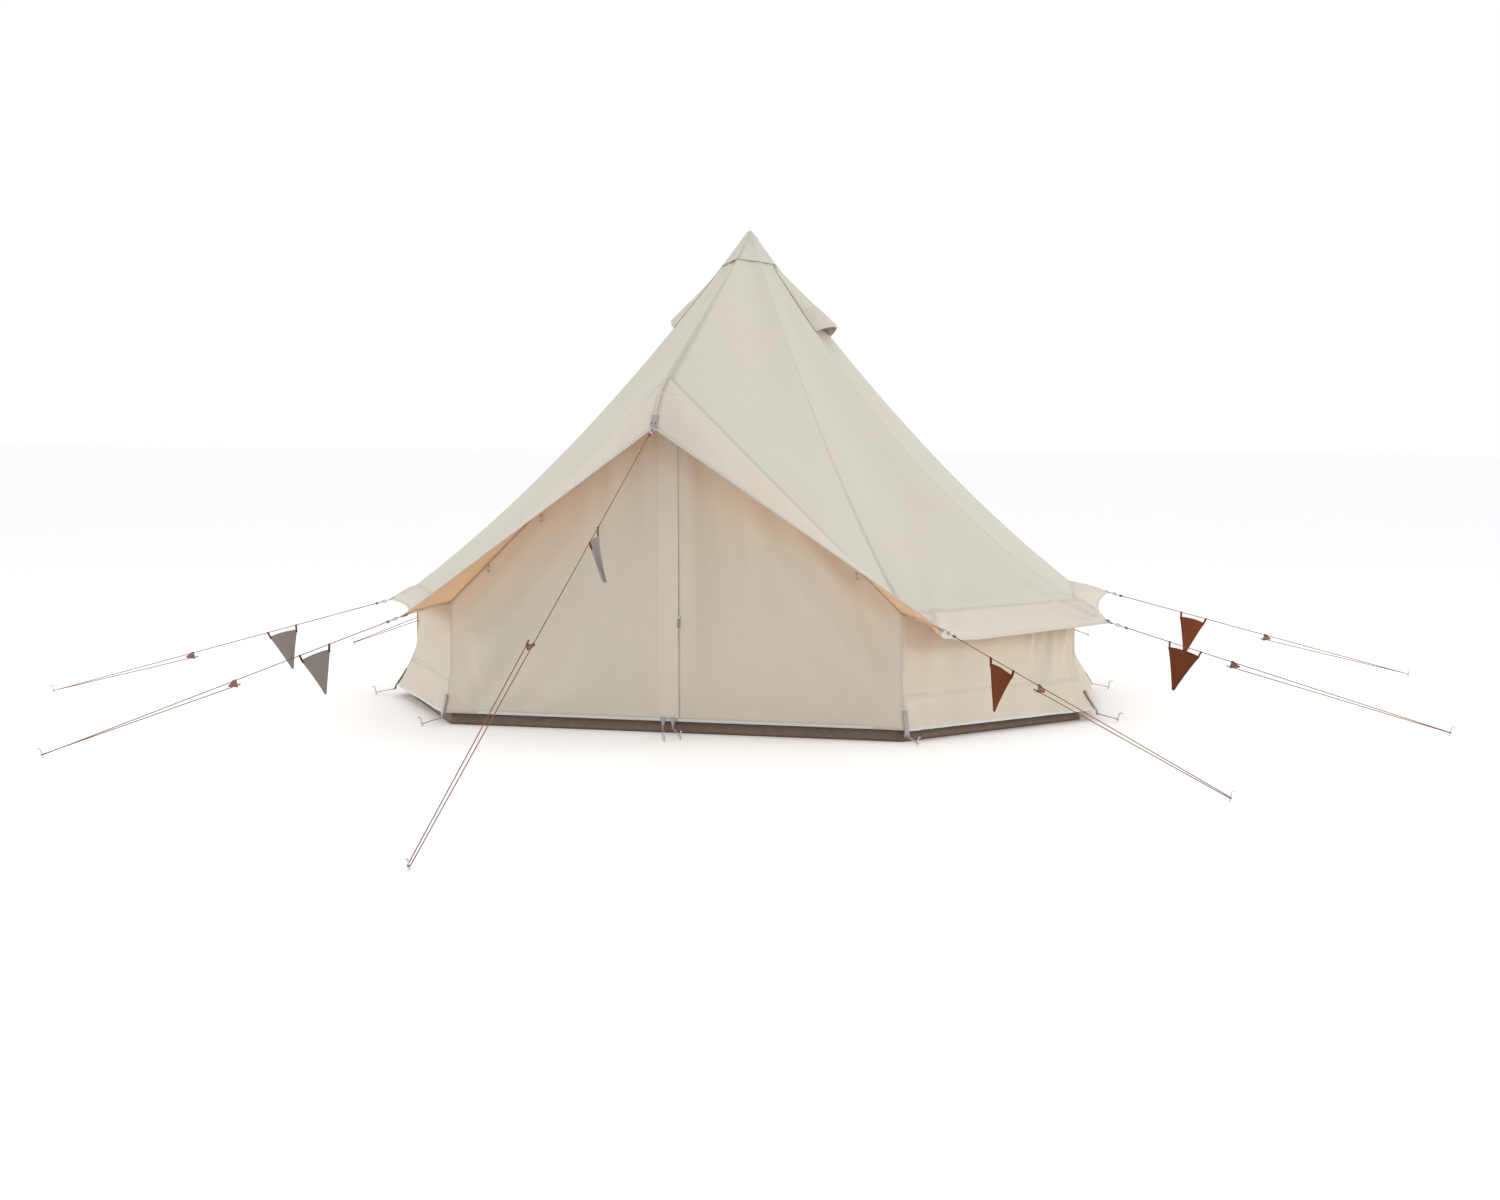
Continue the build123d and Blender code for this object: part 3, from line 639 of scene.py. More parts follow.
def knot(centre, along, size):
    """An overhand knot: a trefoil of cord round the line."""
    side = along.cross(UP).normalized()
    up = side.cross(along)
    points = []
    for i in range(37):
        t = 2 * math.pi * i / 36
        x = (math.sin(t) + 2 * math.sin(2 * t)) / 3
        y = (math.cos(t) - 2 * math.cos(2 * t)) / 3
        z = -math.sin(3 * t) / 3
        points.append(centre + along * (z * size * 1.1) + side * (x * size) + up * (y * size))
    return tube(points, size * 0.42, hint=along + up, sides=8)


# --- guy lines ---

BESIDE_BOARD = 0.0036                      # keeps the end knot clear of the board that slides past it


def cord_route(k):
    """From the hook to the peg, round it, and back past the tensioner."""
    start, along, length, side = line_frame(k)
    begin = start + along * (HOOK_START + HOOK_LENGTH)
    turn = start + along * (length + WRAP)
    back = turn + side * (2 * WRAP)
    end = start + along * (TENSIONER_AT[k] - TAIL) + return_side(k) * STRAND_GAP
    near_peg = 6 * CORD_D
    return [begin, turn - along * near_peg, turn, back, back + (end - back).normalized() * near_peg, end]


def add_cord(k):
    name = "guy_line_" + NAMES[k]
    route = cord_route(k)
    curve = bpy.data.curves.new(name + "_cord", "CURVE")
    curve.dimensions = "3D"
    curve.bevel_depth = CORD_D / 2
    curve.bevel_resolution = 3
    curve.resolution_u = 10
    curve.use_fill_caps = True
    spline = curve.splines.new("NURBS")
    spline.points.add(len(route) - 1)
    for point, at in zip(spline.points, route):
        point.co = (*at, 1)
    spline.order_u = 3
    spline.use_endpoint_u = True
    curve.materials.append(MATERIALS["cord"])
    piece = bpy.data.objects.new(name + "_cord", curve)
    bpy.context.scene.collection.objects.link(piece)
    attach(piece, "tent")
    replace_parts(piece, name)
    toward = (route[-1] - route[-2]).normalized()
    beside = line_frame(k)[1].cross(return_side(k)) * -BESIDE_BOARD
    stop = solids(name + "_end_knot", [knot(route[-1] - toward * 0.004 + beside, toward, 0.0038)],
                  "cord", "tent")
    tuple(route[0])
    lengths(route)[-1]


for corner in GUYS:
    add_cord(corner)


# --- roof ---

ROOF_SEED, EAVE_SEED, WALL_SEED = 3, 41, 80
SLACK_SAG = {2: 0.215}                     # the one seam that hangs slacker than the others


def wall_radius(k):
    return FRONT_R if abs(k) == 1 else SIDE_R


def skirt_radius(k):
    return FRONT_SKIRT_R if abs(k) == 1 else SIDE_SKIRT_R


def neighbours(k):
    at = RING.index(k)
    return RING[at - 1], RING[(at + 1) % len(RING)]


def ridge(k, s):
    """A point of corner k's roof seam, from the pole, 0, to the wall, 1."""
    radius, z = DOOR_RIDGE if k == 0 else (wall_radius(k), WALL_TOP)
    sag = 0 if k == 0 else SLACK_SAG.get(k, RIDGE_SAG)
    return polar(RIDGE_TOP[0] + (radius - RIDGE_TOP[0]) * s, k * STEP,
                 RIDGE_TOP[1] + (z - RIDGE_TOP[1]) * s - 4 * sag * s * (1 - s))


def panel_normal(a, b, s):
    left, right = ridge(a, s), ridge(b, s)
    down = (ridge(a, s + 0.01) + ridge(b, s + 0.01) - left - right)
    return down.cross(right - left).normalized()


# Folds that run out of an eave's tip: angle from the corner's seam, depth, width in degrees, reach
TIP_FOLDS = [(13, 0.55, 3.2, 0.42), (22, -0.9, 3.4, 0.66), (31, 1.0, 3.6, 0.80), (41, -0.7, 3.8, 0.55),
             (51, 0.6, 4.5, 0.42), (63, -0.5, 5.0, 0.34)]
SEAM_HOLD = 0.35                           # how much of a fold is left where the valance is sewn on
PULL = {2: 0.026, 1: 0.017, -1: 0.017, 3: 0.016, 4: 0.014, -4: 0.014, -3: 0.015, -2: 0.018}


def pulls(point, k, seed):
    """Folds that run out of the tip of corner k, deeper close to it."""
    if k == 0:
        return 0.0
    toward = point - tip(k)
    distance = toward.length
    seam = (ridge(k, 0.9) - tip(k)).normalized()
    side = seam.cross(UP).normalized()
    angle = math.degrees(abs(math.atan2(toward.dot(side), toward.dot(seam))))
    angle += 5 * ripple(distance * 2.2, seed, 33)
    total = 0.0
    for middle, depth, width, reach in TIP_FOLDS:
        away = (angle - middle) / (width * (1 + 0.5 * distance))
        total += depth * math.exp(-away * away) * math.exp(-(distance / reach) ** 2)
    return PULL[k] * total * smooth(0.02, 0.13, distance)


def tip_folds(point, a, b, inside):
    """The folds out of both tips of a panel. They end before its seams."""
    return (pulls(point, a, ROOF_SEED + a) + pulls(point, b, ROOF_SEED + a)) * smooth(0, 0.10, inside)


def roof_point(a, b, u, s):
    """A point of the panel between corners a, at u 0, and b, at u 1. s goes from the pole to the wall."""
    point = mix(ridge(a, s), ridge(b, s), u)
    normal = panel_normal(a, b, min(0.98, max(0.02, s)))
    inside = 4 * u * (1 - u)
    held = inside * smooth(0, 0.08, s) * smooth(0, 0.10, 1 - s)
    sink = 0.026 * inside * 4 * s * (1 - s)
    if (a, b) == (1, 2):
        sink += 0.035 * inside * s * s * (1 - s) * 4
    soft = 0.006 * ripple(point.x * 2.1 + point.y * 1.3, point.z * 1.9, ROOF_SEED + a)
    lift = mix(normal, UP, smooth(0.92, 1, s)) * mix(1, SEAM_HOLD, smooth(0.80, 1, s))
    return point + normal * (held * (soft - sink)) + lift * tip_folds(point, a, b, inside)


def roof_grid(a, b):
    return [[roof_point(a, b, u, s) for u in spread(31)] for s in spread(46)]


def vent_hole(panel, s, u):
    low, high, left, right = VENT
    return SIDE_PAIRS[panel] in VENT_PAIRS and low < s < high and left < u < right


def roof_cloth(name, grids, rests_on, node, **more):
    return cloth(name, grids, "roof", "tent", "roof_canvas", "stretched", rests_on, [node], **more)


roof_cloth("roof_sides", [roof_grid(a, b) for a, b in SIDE_PAIRS], ["centre_pole_upper", "pole_head"],
           "roof_side_panels", hole=vent_hole)
roof_cloth("roof_front", [roof_grid(0, 1), roof_grid(-1, 0)], ["pole_head", "a_frame_peak_joint"],
           "roof_front_panels")


# --- porch and eaves ---

def porch_point(side, u, t):
    """From the crease at t 0 to the hem at t 1, and from the door's ridge at u 0 to the corner at u 1."""
    crease = mix(ridge(0, 1), ridge(side, 1), u)
    hem = mix(tip(0), tip(side), u)
    outward = Vector((side * 0.25 * smooth(0, 0.25, u), -0.75, 0.6)).normalized()
    bulge = 0.034 * swell(t) * (1 - smooth(0, 0.35, u)) + 0.010 * swell(t) * smooth(0.1, 0.6, u)
    soft = 0.006 * ripple(u * 5, t * 1.5, 21 + side) * swell(min(1, t * 1.15)) * smooth(0, 0.1, u)
    folds = 0.012 * ripple(t * 4.5, u * 2, 31 + side) * smooth(0.75, 1, u) * swell(t)
    gusset = smooth(0, 0.06, u) * (1 - smooth(0.16, 0.34, u))
    folds += 0.014 * ripple(u * 26 + t * 3, t * 2.5 - u * 8, 35 + side) * gusset * swell(t)
    return mix(crease, hem, t) + outward * (bulge + soft + folds)


porch_grids = [[[porch_point(side, u, t) for u in spread(49)] for t in spread(13)] for side in (-1, 1)]
roof_cloth("porch_canvas", porch_grids, ["a_frame_peak_joint"], "door_porch")

EAVE_PULL = 0.062                          # how far an eave's edge curves in between its tips


def eave_edge(a, b, t):
    start, end = tip(a), tip(b)
    inward = -level(start + end)
    point = mix(start, end, t) + inward * (EAVE_PULL * (4 * t * (1 - t)) ** 0.8)
    if (a, b) == (1, 2):
        early = math.sin(math.pi * t ** 0.55)
        point += inward * (0.085 * early) - UP * (0.062 * early)
    return point


def eave_point(a, b, u, t):
    """From the seam on the wall, t 0, to the hem, t 1."""
    root = mix(ridge(a, 1), ridge(b, 1), u)
    inside = 4 * u * (1 - u)
    seed = EAVE_SEED + SIDE_PAIRS.index((a, b))
    soft = 0.008 * ripple(u * 9, t * 1.2, seed) * math.sin(math.pi * t * 0.9) * inside
    point = mix(root, eave_edge(a, b, u), t)
    folds = tip_folds(point, a, b, inside) * mix(SEAM_HOLD, 0.8, swell(t))
    return point + UP * (0.010 * swell(t) + soft + folds)


eave_grids = [[[eave_point(a, b, u, t) for u in spread(57)] for t in spread(11)] for a, b in SIDE_PAIRS]
roof_cloth("eave_canvas", eave_grids, ["side_walls"], "eave_flaps")


# --- seams and hems ---

SEAM_WIDTH = 0.014
SEAM_LIFT = 0.0010


def roof_seam(k):
    """The doubled seam over corner k: half of it lies on each of the two panels."""
    before, after = neighbours(k)
    strip = []
    for t in spread(80):
        s = 0.05 + 0.95 * t
        share = min(0.3, SEAM_WIDTH / 2 / (ridge(before, s) - ridge(k, s)).length)
        left, right = panel_normal(before, k, min(s, 0.97)), panel_normal(k, after, min(s, 0.97))
        strip.append([
            roof_point(before, k, 1 - share, s) + left * 0.0006,
            roof_point(before, k, 1 - share * 0.85, s) + left * SEAM_LIFT,
            ridge(k, s) + (left + right).normalized() * SEAM_LIFT,
            roof_point(k, after, share * 0.85, s) + right * SEAM_LIFT,
            roof_point(k, after, share, s) + right * 0.0006,
        ])
    return strip


def strip_between(points, side, normals):
    """A flat strip centred on a line of points."""
    return [[point + side * (SEAM_WIDTH * w) + normal * lift
             for w, lift in ((-0.5, 0.0004), (-0.42, SEAM_LIFT), (0.42, SEAM_LIFT), (0.5, 0.0004))]
            for point, normal in zip(points, normals)]


def surface_strip(at, steps, facing=UP):
    """A strip laid on a surface. at(u, offset) gives the surface's point, offset metres to one side."""
    strip = []
    places = spread(steps)
    for i, u in enumerate(places):
        low, high = at(u, -SEAM_WIDTH / 2), at(u, SEAM_WIDTH / 2)
        ahead = at(places[min(i + 1, steps - 1)], 0) - at(places[max(i - 1, 0)], 0)
        normal = ahead.cross(high - low).normalized()
        if normal.dot(facing) < 0:
            normal = -normal
        strip.append([mix(low, high, w) + normal * lift
                      for w, lift in ((0, 0.0005), (0.08, SEAM_LIFT), (0.5, SEAM_LIFT), (0.92, SEAM_LIFT),
                                      (1, 0.0005))])
    return strip


def gusset_seam(side):
    """The short seam across the gusset, a hand's width below the A-frame's peak."""
    def at(u, offset):
        return porch_point(side, 0.09 * u, 0.42 * (1 - u) + 0.01 + offset / 0.3)
    return surface_strip(at, 14, facing=Vector((0, -0.6, 0.7)))


def valance_strip(a, b):
    """The seam that joins an eave to the roof: half of it lies on each."""
    def at(u, offset):
        if offset >= 0:
            return eave_point(a, b, u, offset / 0.2)
        base = roof_point(a, b, u, 1)
        return base + (roof_point(a, b, u, 0.97) - base).normalized() * -offset
    return surface_strip(at, 50)


roof_strips = [roof_seam(k) for k in RING]
roof_strips += [gusset_seam(side) for side in (-1, 1)]
roof_strips += [valance_strip(a, b) for a, b in SIDE_PAIRS]
ribbons("roof_seams", roof_strips, "seam", "tent")


def tip_seam(k):
    """The seam from the wall's corner out to the eave's tip."""
    start, end = ridge(k, 1), tip(k)
    side = (end - start).cross(UP).normalized()
    normal = side.cross(end - start).normalized()
    return strip_between([mix(start, end, t) for t in spread(10)], side, [normal * 1.5] * 10)


def porch_ridge_seam():
    points = [porch_point(1, 0, t) for t in spread(13)]
    return strip_between(points, X, [normal for normal, _ in normals_along(points, Vector((0, -0.3, 1)))])


ribbons("tip_seams", [tip_seam(k) for k in CORNERS] + [porch_ridge_seam()], "seam", "tent")


def hem_section(edge, inner, ahead, bulk=0.0018, face_up=False):
    """Across a folded hem: up over the canvas, round the edge and back under it."""
    inward = (inner - edge).normalized()
    normal = ahead.cross(inward).normalized()
    if face_up and normal.z < 0:
        normal = -normal
    width = 0.010
    return [edge + inward * (width * w) + normal * (bulk * h)
            for w, h in ((1, 0.6), (0.5, 1), (0, 1), (-bulk / width, 0), (0, -1), (0.5, -1), (1, -0.6))]


def eave_hem(a, b):
    return [hem_section(eave_point(a, b, u, 1), eave_point(a, b, u, 0.9),
                        eave_edge(a, b, min(1, u + 0.01)) - eave_edge(a, b, max(0, u - 0.01)))
            for u in spread(57)]


def porch_hem(side):
    ahead = tip(side) - tip(0)
    return [hem_section(porch_point(side, u, 1), porch_point(side, u, 0.93), ahead, bulk=0.0024)
            for u in spread(49)]


hems = [eave_hem(a, b) for a, b in SIDE_PAIRS] + [porch_hem(side) for side in (-1, 1)]
ribbons("canvas_hems", hems, "hem", "tent")


# --- apex cap and vent hoods ---

CAP_RIM = 0.072                            # how far down its seam a corner's cap reaches, by default
CAP_REACH = {0: 0.148, 1: 0.050, -1: 0.052, -2: 0.056, 2: 0.046, 3: 0.052}
GRADE, DOOR_GRADE = 2.3, 0.72              # how steep a corner's seam is beside the cap
CAP_LIFT = 0.0045
CAP_NOSE = [(0.0002, 2.497), (0.007, 2.4945), (0.015, 2.4875), (0.024, 2.477), (0.034, 2.464),
            (0.0445, 2.4505)]              # its round top: radius and height
CAP_COLUMNS = [i / 10 for i in range(len(RING) * 10 + 1)]


def cap_point(ring_at, t):
    """Over the roof. ring_at counts corners round the tent, t goes from the rim, 1, to the top, 0."""
    index = int(ring_at) % len(RING)
    u = ring_at - int(ring_at)
    a, b = RING[index], RING[(index + 1) % len(RING)]
    left = (DOOR_GRADE if a == 0 else GRADE) * (1 - u)
    right = (DOOR_GRADE if b == 0 else GRADE) * u
    reach = (CAP_REACH.get(a, CAP_RIM) * left + CAP_REACH.get(b, CAP_RIM) * right) / (left + right)
    s = reach * t
    pleat = 0.0026 * abs(ripple(ring_at * 5.5, t * 0.8, 61)) * smooth(0.1, 0.6, t)
    return (mix(ridge(a, s), ridge(b, s), u)
            + panel_normal(a, b, max(0.02, s)) * (CAP_LIFT * (1.1 - 0.2 * t) + pleat))


def cap_grid():
    nose = [[polar(radius, STEP * (c - 1), z) for c in CAP_COLUMNS] for radius, z in CAP_NOSE]
    return nose + [[cap_point(c, t) for c in CAP_COLUMNS] for t in spread(14)]


roof_cloth("apex_cap_canvas", [cap_grid()], ["roof_sides"], "apex_cap", thickness=0.002)


def cap_hem():
    """A whole turn is added where the place would fall below 0."""
    def ahead(c):
        return cap_point(c + 0.05, 1) - cap_point(c - 0.05 + len(RING), 1)
    return [hem_section(cap_point(c, 1), cap_point(c, 0.9), ahead(c), bulk=0.0013, face_up=True)
            for c in CAP_COLUMNS]


ribbons("apex_cap_hem", [cap_hem()], "seam", "tent")

HOOD_TOP, HOOD_END = 0.054, 0.235          # along the seams, where a hood starts and where it ends
SHORT_HOOD = 0.190                         # where the two side hoods end
SLANT = 0.034                              # how much farther the right one's far edge reaches
HOOD_STAND = 0.082
HOOD_LIP = 0.010                           # the band's edge hangs down in front of the mouth


def hood_point(a, b, u, t):
    end = {2: SHORT_HOOD + SLANT * u, -3: SHORT_HOOD + 0.014}.get(a, HOOD_END)
    s = mix(HOOD_TOP, end, t)
    soft = 0.004 * ripple(u * 4, t * 3, 71 + a) * t * swell(u)
    return (mix(ridge(a, s), ridge(b, s), u)
            + panel_normal(a, b, s) * (0.003 + HOOD_STAND * t * swell(u) ** 0.75 + soft))


def hood_grid(a, b):
    return [[hood_point(a, b, u, t) for u in spread(25)] for t in spread(14)]


roof_cloth("vent_hood_canvas", [hood_grid(a, b) for a, b in VENT_PAIRS], ["roof_sides"], "vent_hoods",
           thickness=0.0024)


def hood_rim(a, b):
    """The stiffened band round the hood's mouth, a little proud of the canvas."""
    normal = panel_normal(a, b, HOOD_END)
    rows = []
    for u in spread(25):
        out, inner = hood_point(a, b, u, 1), hood_point(a, b, u, 0.66)
        edge = out - UP * (HOOD_LIP * swell(u))
        rows.append([
            inner + normal * 0.0016,
            mix(inner, out, 0.06) + normal * 0.003,
            mix(inner, out, 0.94) + normal * 0.003,
            out + normal * 0.0018,
            edge + normal * 0.0010,
            edge - normal * 0.0010,
            out - normal * 0.0026,
            mix(inner, out, 0.6) - normal * 0.003,
        ])
    return rows


ribbons("vent_hood_rims", [hood_rim(a, b) for a, b in VENT_PAIRS], "seam", "tent")


# --- side walls ---

FLARE_START = 0.310                        # the walls are upright above this height
SKIRT_GAP = 0.0005                         # between the skirt's upper edge and the wall's lower one
BAND_AT = 0.012 / 2 / 1.24                 # half a corner band, as a share of a wall's width


def wall_corner(k, z):
    """Corner k of the wall at height z: upright at first, then it flares more and more."""
    t = max(0, (FLARE_START - z) / (FLARE_START - SKIRT_END)) ** 1.55
    return polar(mix(wall_radius(k), skirt_radius(k), t), k * STEP, z)


def wall_outward(a, b):
    return level(wall_corner(a, 0.4) + wall_corner(b, 0.4))


def wall_point(a, b, u, z, seed=WALL_SEED):
    """The canvas hangs in soft upright folds, crumpled beside its corner seams."""
    inside = 4 * u * (1 - u)
    held = smooth(0, 0.25, inside)
    down = smooth(0, 0.12, WALL_TOP - z)
    waves = 0.024 * ripple(u * 8.5 + 0.3 * math.sin(z * 9), z * 1.1, seed) * held * down
    waves += 0.010 * ripple(u * 24, z * 1.8, seed + 1) * held * down * smooth(0.12, 0.5, z)
    if (a, b) == (1, 2):
        gather = smooth(0.60, 0.80, u) * smooth(0.22, 0.50, z) * smooth(0, 0.10, 1 - u)
        waves += 0.016 * math.sin(u * 95 + 2 * math.sin(z * 7)) * gather * down
    corner = math.exp(-u / 0.10) + math.exp(-(1 - u) / 0.10)
    crumple = 0.026 * ripple(u * 26, z * 15, seed + 2) * corner * smooth(0, 0.10, inside) * down
    belly = 0.012 * inside * swell(smooth(SKIRT_TOP, WALL_TOP, z))
    quiet = mix(0.45, 1, smooth(0, 0.05, abs(z - SKIRT_TOP)))
    quiet *= mix(0.35, 1, smooth(0, 0.03, z - SKIRT_END))
    point = mix(wall_corner(a, z), wall_corner(b, z), u)
    return point + wall_outward(a, b) * (waves * quiet + crumple - belly)


def wall_grids(z_top, z_low, rows):
    heights = [mix(z_top, z_low, t) for t in spread(rows)]
    return [[[wall_point(a, b, u, z, WALL_SEED + i) for u in spread(57)] for z in heights]
            for i, (a, b) in enumerate(SIDE_PAIRS)]


cloth("wall_canvas_sides", wall_grids(WALL_TOP, SKIRT_TOP, 21), "wall", "tent", "wall_canvas", "hung",
      ["roof_sides"], ["side_walls"])
cloth("wall_skirt_canvas", wall_grids(SKIRT_TOP - SKIRT_GAP, SKIRT_END, 10), "wall", "tent", "wall_canvas",
      "hung", ["side_walls"], ["wall_skirts"])


def wall_bands(z, width):
    """A strip sewn along each wall at one height."""
    section = ((0.5, 0.0008), (0.35, 0.0022), (-0.35, 0.0022), (-0.5, 0.0008))
    return [[[wall_point(a, b, u, z + width * t, WALL_SEED + i) + wall_outward(a, b) * lift
              for t, lift in section] for u in spread(57)] for i, (a, b) in enumerate(SIDE_PAIRS)]


def corner_band(k):
    """The seam down a wall's corner. At the door it turns round onto the door wall."""
    def on_wall(a, b, u, z):
        return wall_point(a, b, u, z) + wall_outward(a, b) * 0.001
    before, after = neighbours(k)
    rows = []
    for t in spread(40):
        z = mix(WALL_TOP - 0.004, SKIRT_END + 0.002, t)
        middle = wall_corner(k, z)
        beside_door = middle + Vector((-math.copysign(0.006, middle.x), -0.0012, 0))
        rows.append([
            beside_door if k == 1 else on_wall(before, k, 1 - BAND_AT, z),
            middle + level(middle) * 0.0025,
            beside_door if k == -1 else on_wall(k, after, BAND_AT, z),
        ])
    return rows


ribbons("wall_seams", wall_bands(SKIRT_TOP, 0.014) + [corner_band(k) for k in CORNERS],
        "seam", "tent")
ribbons("wall_foot_trim", wall_bands(SKIRT_END + 0.006, 0.012), "trim", "tent")


# --- door wall ---

FLAP_LEFT, FLAP_RIGHT = -0.052, SPLIT_X + 0.0030
FLAP_TOP = 1.530
TAPE_Y = DOOR_Y + 0.0022
TOOTH_PITCH = 0.0052
TEETH = 243
TRIM_END = FRONT_SKIRT_R * math.sin(math.radians(STEP)) - 0.004


def wall_outer(z, side):
    """The outer edge of the door wall at height z: the wall's corner, and above it the porch's crease."""
    if z <= WALL_TOP:
        return wall_corner(side, z)
    peak = Vector((0, DOOR_Y - 0.004, DOOR_RIDGE[1] - 0.002))
    return mix(ridge(side, 1), peak, (z - WALL_TOP) / (peak.z - WALL_TOP))


def door_wave(x, z):
    """Soft folds of the door wall: upright ones beside the zip, and slanting pulls to the eaves."""
    out = abs(x)
    wave = 0.026 * ripple(x * 3.4, z * 0.9, 91) + 0.006 * ripple(x * 9.0 + z * 2.0, z * 2.0, 92)
    wave += 0.050 * ripple(x * 9, z * 0.6, 90) * (1 - smooth(0.15, 0.60, out)) * smooth(0.1, 0.7, z)
    wave += 0.026 * ripple((out * 1.2 + z) * 5.0, out * 1.1, 93) * smooth(0.25, 0.9, out)
    corner = smooth(0.78, 1.06, out) * smooth(0, 0.05, 1.14 - out)
    wave += 0.030 * ripple(x * 17 + z * 5, z * 4.0, 94) * corner
    beside_flap = max(x - FLAP_RIGHT, FLAP_LEFT - x)
    return wave * smooth(0, 0.06, beside_flap) * smooth(0, 0.12, z - SKIRT_END)


def door_grid(side):
    """One half of the door wall, from its zip edge to the corner."""
    inner = SPLIT_X + side * 0.0006
    grid = []
    for t in spread(61):
        z = mix(SKIRT_END + 0.004, DOOR_RIDGE[1] - 0.030, t)
        edge = wall_outer(z, side)
        start = inner if abs(edge.x) > abs(inner) + 0.004 else edge.x * 0.55
        row = []
        for u in spread(59):
            x = mix(start, edge.x, u)
            row.append(Vector((x, mix(DOOR_Y - door_wave(x, z), edge.y, smooth(0.80, 1, u)), z)))
        grid.append(row)
    return grid


def blended(piece):
    """Applies the piece's modifiers to its mesh and bakes its transform into it."""
    bpy.context.view_layer.update()
    if piece.modifiers:
        found = bpy.data.meshes.new_from_object(piece.evaluated_get(bpy.context.evaluated_depsgraph_get()))
        piece.modifiers.clear()
        piece.data = found
    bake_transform(piece)


def foot_trim(side, low):
    points = [Vector((side * mix(low, TRIM_END, t), DOOR_Y, SKIRT_END + 0.010)) for t in spread(30)]
    section = ((-0.5, 0.2), (-0.42, 1), (0.42, 1), (0.5, 0.2))
    return [[p + UP * (0.014 * w) + FRONT * (0.0026 * h) for w, h in section] for p in points]


# Side, body, and where the trim along its foot starts
LEAVES = ((-1, "door_leaf_left", -0.040), (1, "door_leaf_right", 0.046))

for side, body, low in LEAVES:
    nodes = [body] if side < 0 else [body, "door_side_panels"]
    half = cloth(body + "_canvas", [door_grid(side)], "door", None, "wall_canvas", "hung",
                 ["a_frame_peak_joint"], nodes)
    blended(half)
for side, body, low in LEAVES:
    blended(ribbons(body + "_foot_trim", [foot_trim(side, low)], "trim", None))


# --- zip: its cover flap, the tapes behind it, the teeth at its edge, the slider and the pull ---

def flap_point(u, t):
    z = mix(FLAP_TOP, LEAF_END, t)
    x = mix(FLAP_LEFT, FLAP_RIGHT, u) + 0.0035 * ripple(z * 1.6, 0.2, 97) * (0.4 + u)
    curl = 0.0005 * smooth(0.55, 1, u) * (1 + 0.8 * ripple(z * 3, 0.3, 95))
    wrinkle = 0.0016 * ripple(z * 14, u * 2.2, 96)
    wrinkle += 0.0030 * ripple(u * 7, z * 1.1, 98) * smooth(0, 0.15, u * (1 - u))
    return Vector((x, DOOR_Y - 0.0024 - curl - wrinkle, z))


def flap_strip(u_low, u_high):
    """A hem of the flap."""
    return [[flap_point(mix(u_low, u_high, w), 0.004 + 0.992 * t) + FRONT * (0.0012 * h)
             for w, h in ((0, 0.5), (0.1, 1), (0.9, 1), (1, 0.5))] for t in spread(100)]


flap_grid = [[flap_point(u, t) for u in spread(13)] for t in spread(110)]
flap = cloth("zip_flap_canvas", [flap_grid], "flap", None, "wall_canvas", "hung", ["zip_tape_left"],
             ["zip_cover_flap"], thickness=0.0016)
flap_hems = ribbons("zip_flap_hems", [flap_strip(-0.01, 0.13), flap_strip(0.87, 1.01)], "flap", None)
for piece in (flap, flap_hems):
    blended(piece)


def zip_tape(side):
    top = 1.376 if side < 0 else 1.349
    x = SPLIT_X + side * 0.002
    rows = []
    for t in spread(90):
        z = mix(top, LEAF_END, t)
        y = TAPE_Y + 0.0006 * math.sin(z * 60)
        rows.append([Vector((x + side * w, y, z)) for w in (0.0, 0.006, 0.012, 0.018)])
    return rows


def zip_tooth(z, side):
    """One moulded tooth, a small block that narrows towards the other side."""
    x = SPLIT_X + side * 0.0013
    corners = [Vector((x + dx * side, DOOR_Y + dy, z + dz)) for dz in (-0.0011, 0.0011)
               for dx, dy in ((-0.0021, -0.0012), (0.0021, -0.0016), (0.0021, 0.0016), (-0.0021, 0.0012))]
    return corners, [[0, 1, 2, 3], [7, 6, 5, 4], [0, 4, 5, 1], [1, 5, 6, 2], [2, 6, 7, 3], [3, 7, 4, 0]]


for side, body, _ in LEAVES:
    tape = ribbons(body + "_zip_tape", [zip_tape(side)], "zip", body, centred=True)
    thicken(tape, 0.001)
    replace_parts(tape, "zip_tape_left" if side < 0 else "zip_tape_right")
    first = LEAF_END + 0.004 + (TOOTH_PITCH / 2 if side > 0 else 0)
    teeth = [zip_tooth(first + TOOTH_PITCH * i, side) for i in range(TEETH)]
    solids(body + "_zip_teeth", teeth, "teeth", body, smooth_faces=False)


def add_slider():
    """Two plates joined by a post, and the bridge that holds the pull."""
    low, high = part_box("zip_slider")
    middle = (low + high) / 2
    face = Vector((middle.x, low.y + 0.0030, middle.z))
    outline = rounded(0.0098, 0.0168, 0.003)
    bridge = [(0.005, 0.0004), (0.003, 0.0032), (-0.003, 0.0032), (-0.005, 0.0004)]
    parts = [
        plate([(x * (1 - 0.2 * (y > 0)), y) for x, y in outline], face, X, FRONT, 0.0018),
        plate(outline, Vector((middle.x, DOOR_Y - 0.0024, middle.z)), X, FRONT, 0.0016),
        plate(rounded(0.0028, 0.0120, 0.001), face + Y * 0.0018, X, FRONT, 0.0026),
        tube([face + UP * z + FRONT * out for z, out in bridge], 0.0011, hint=X),
    ]
    slider = beveled(solids("zip_slider_body", parts, "steel", "zip_slider"), 0.0004, 2)
    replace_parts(slider, "zip_slider")


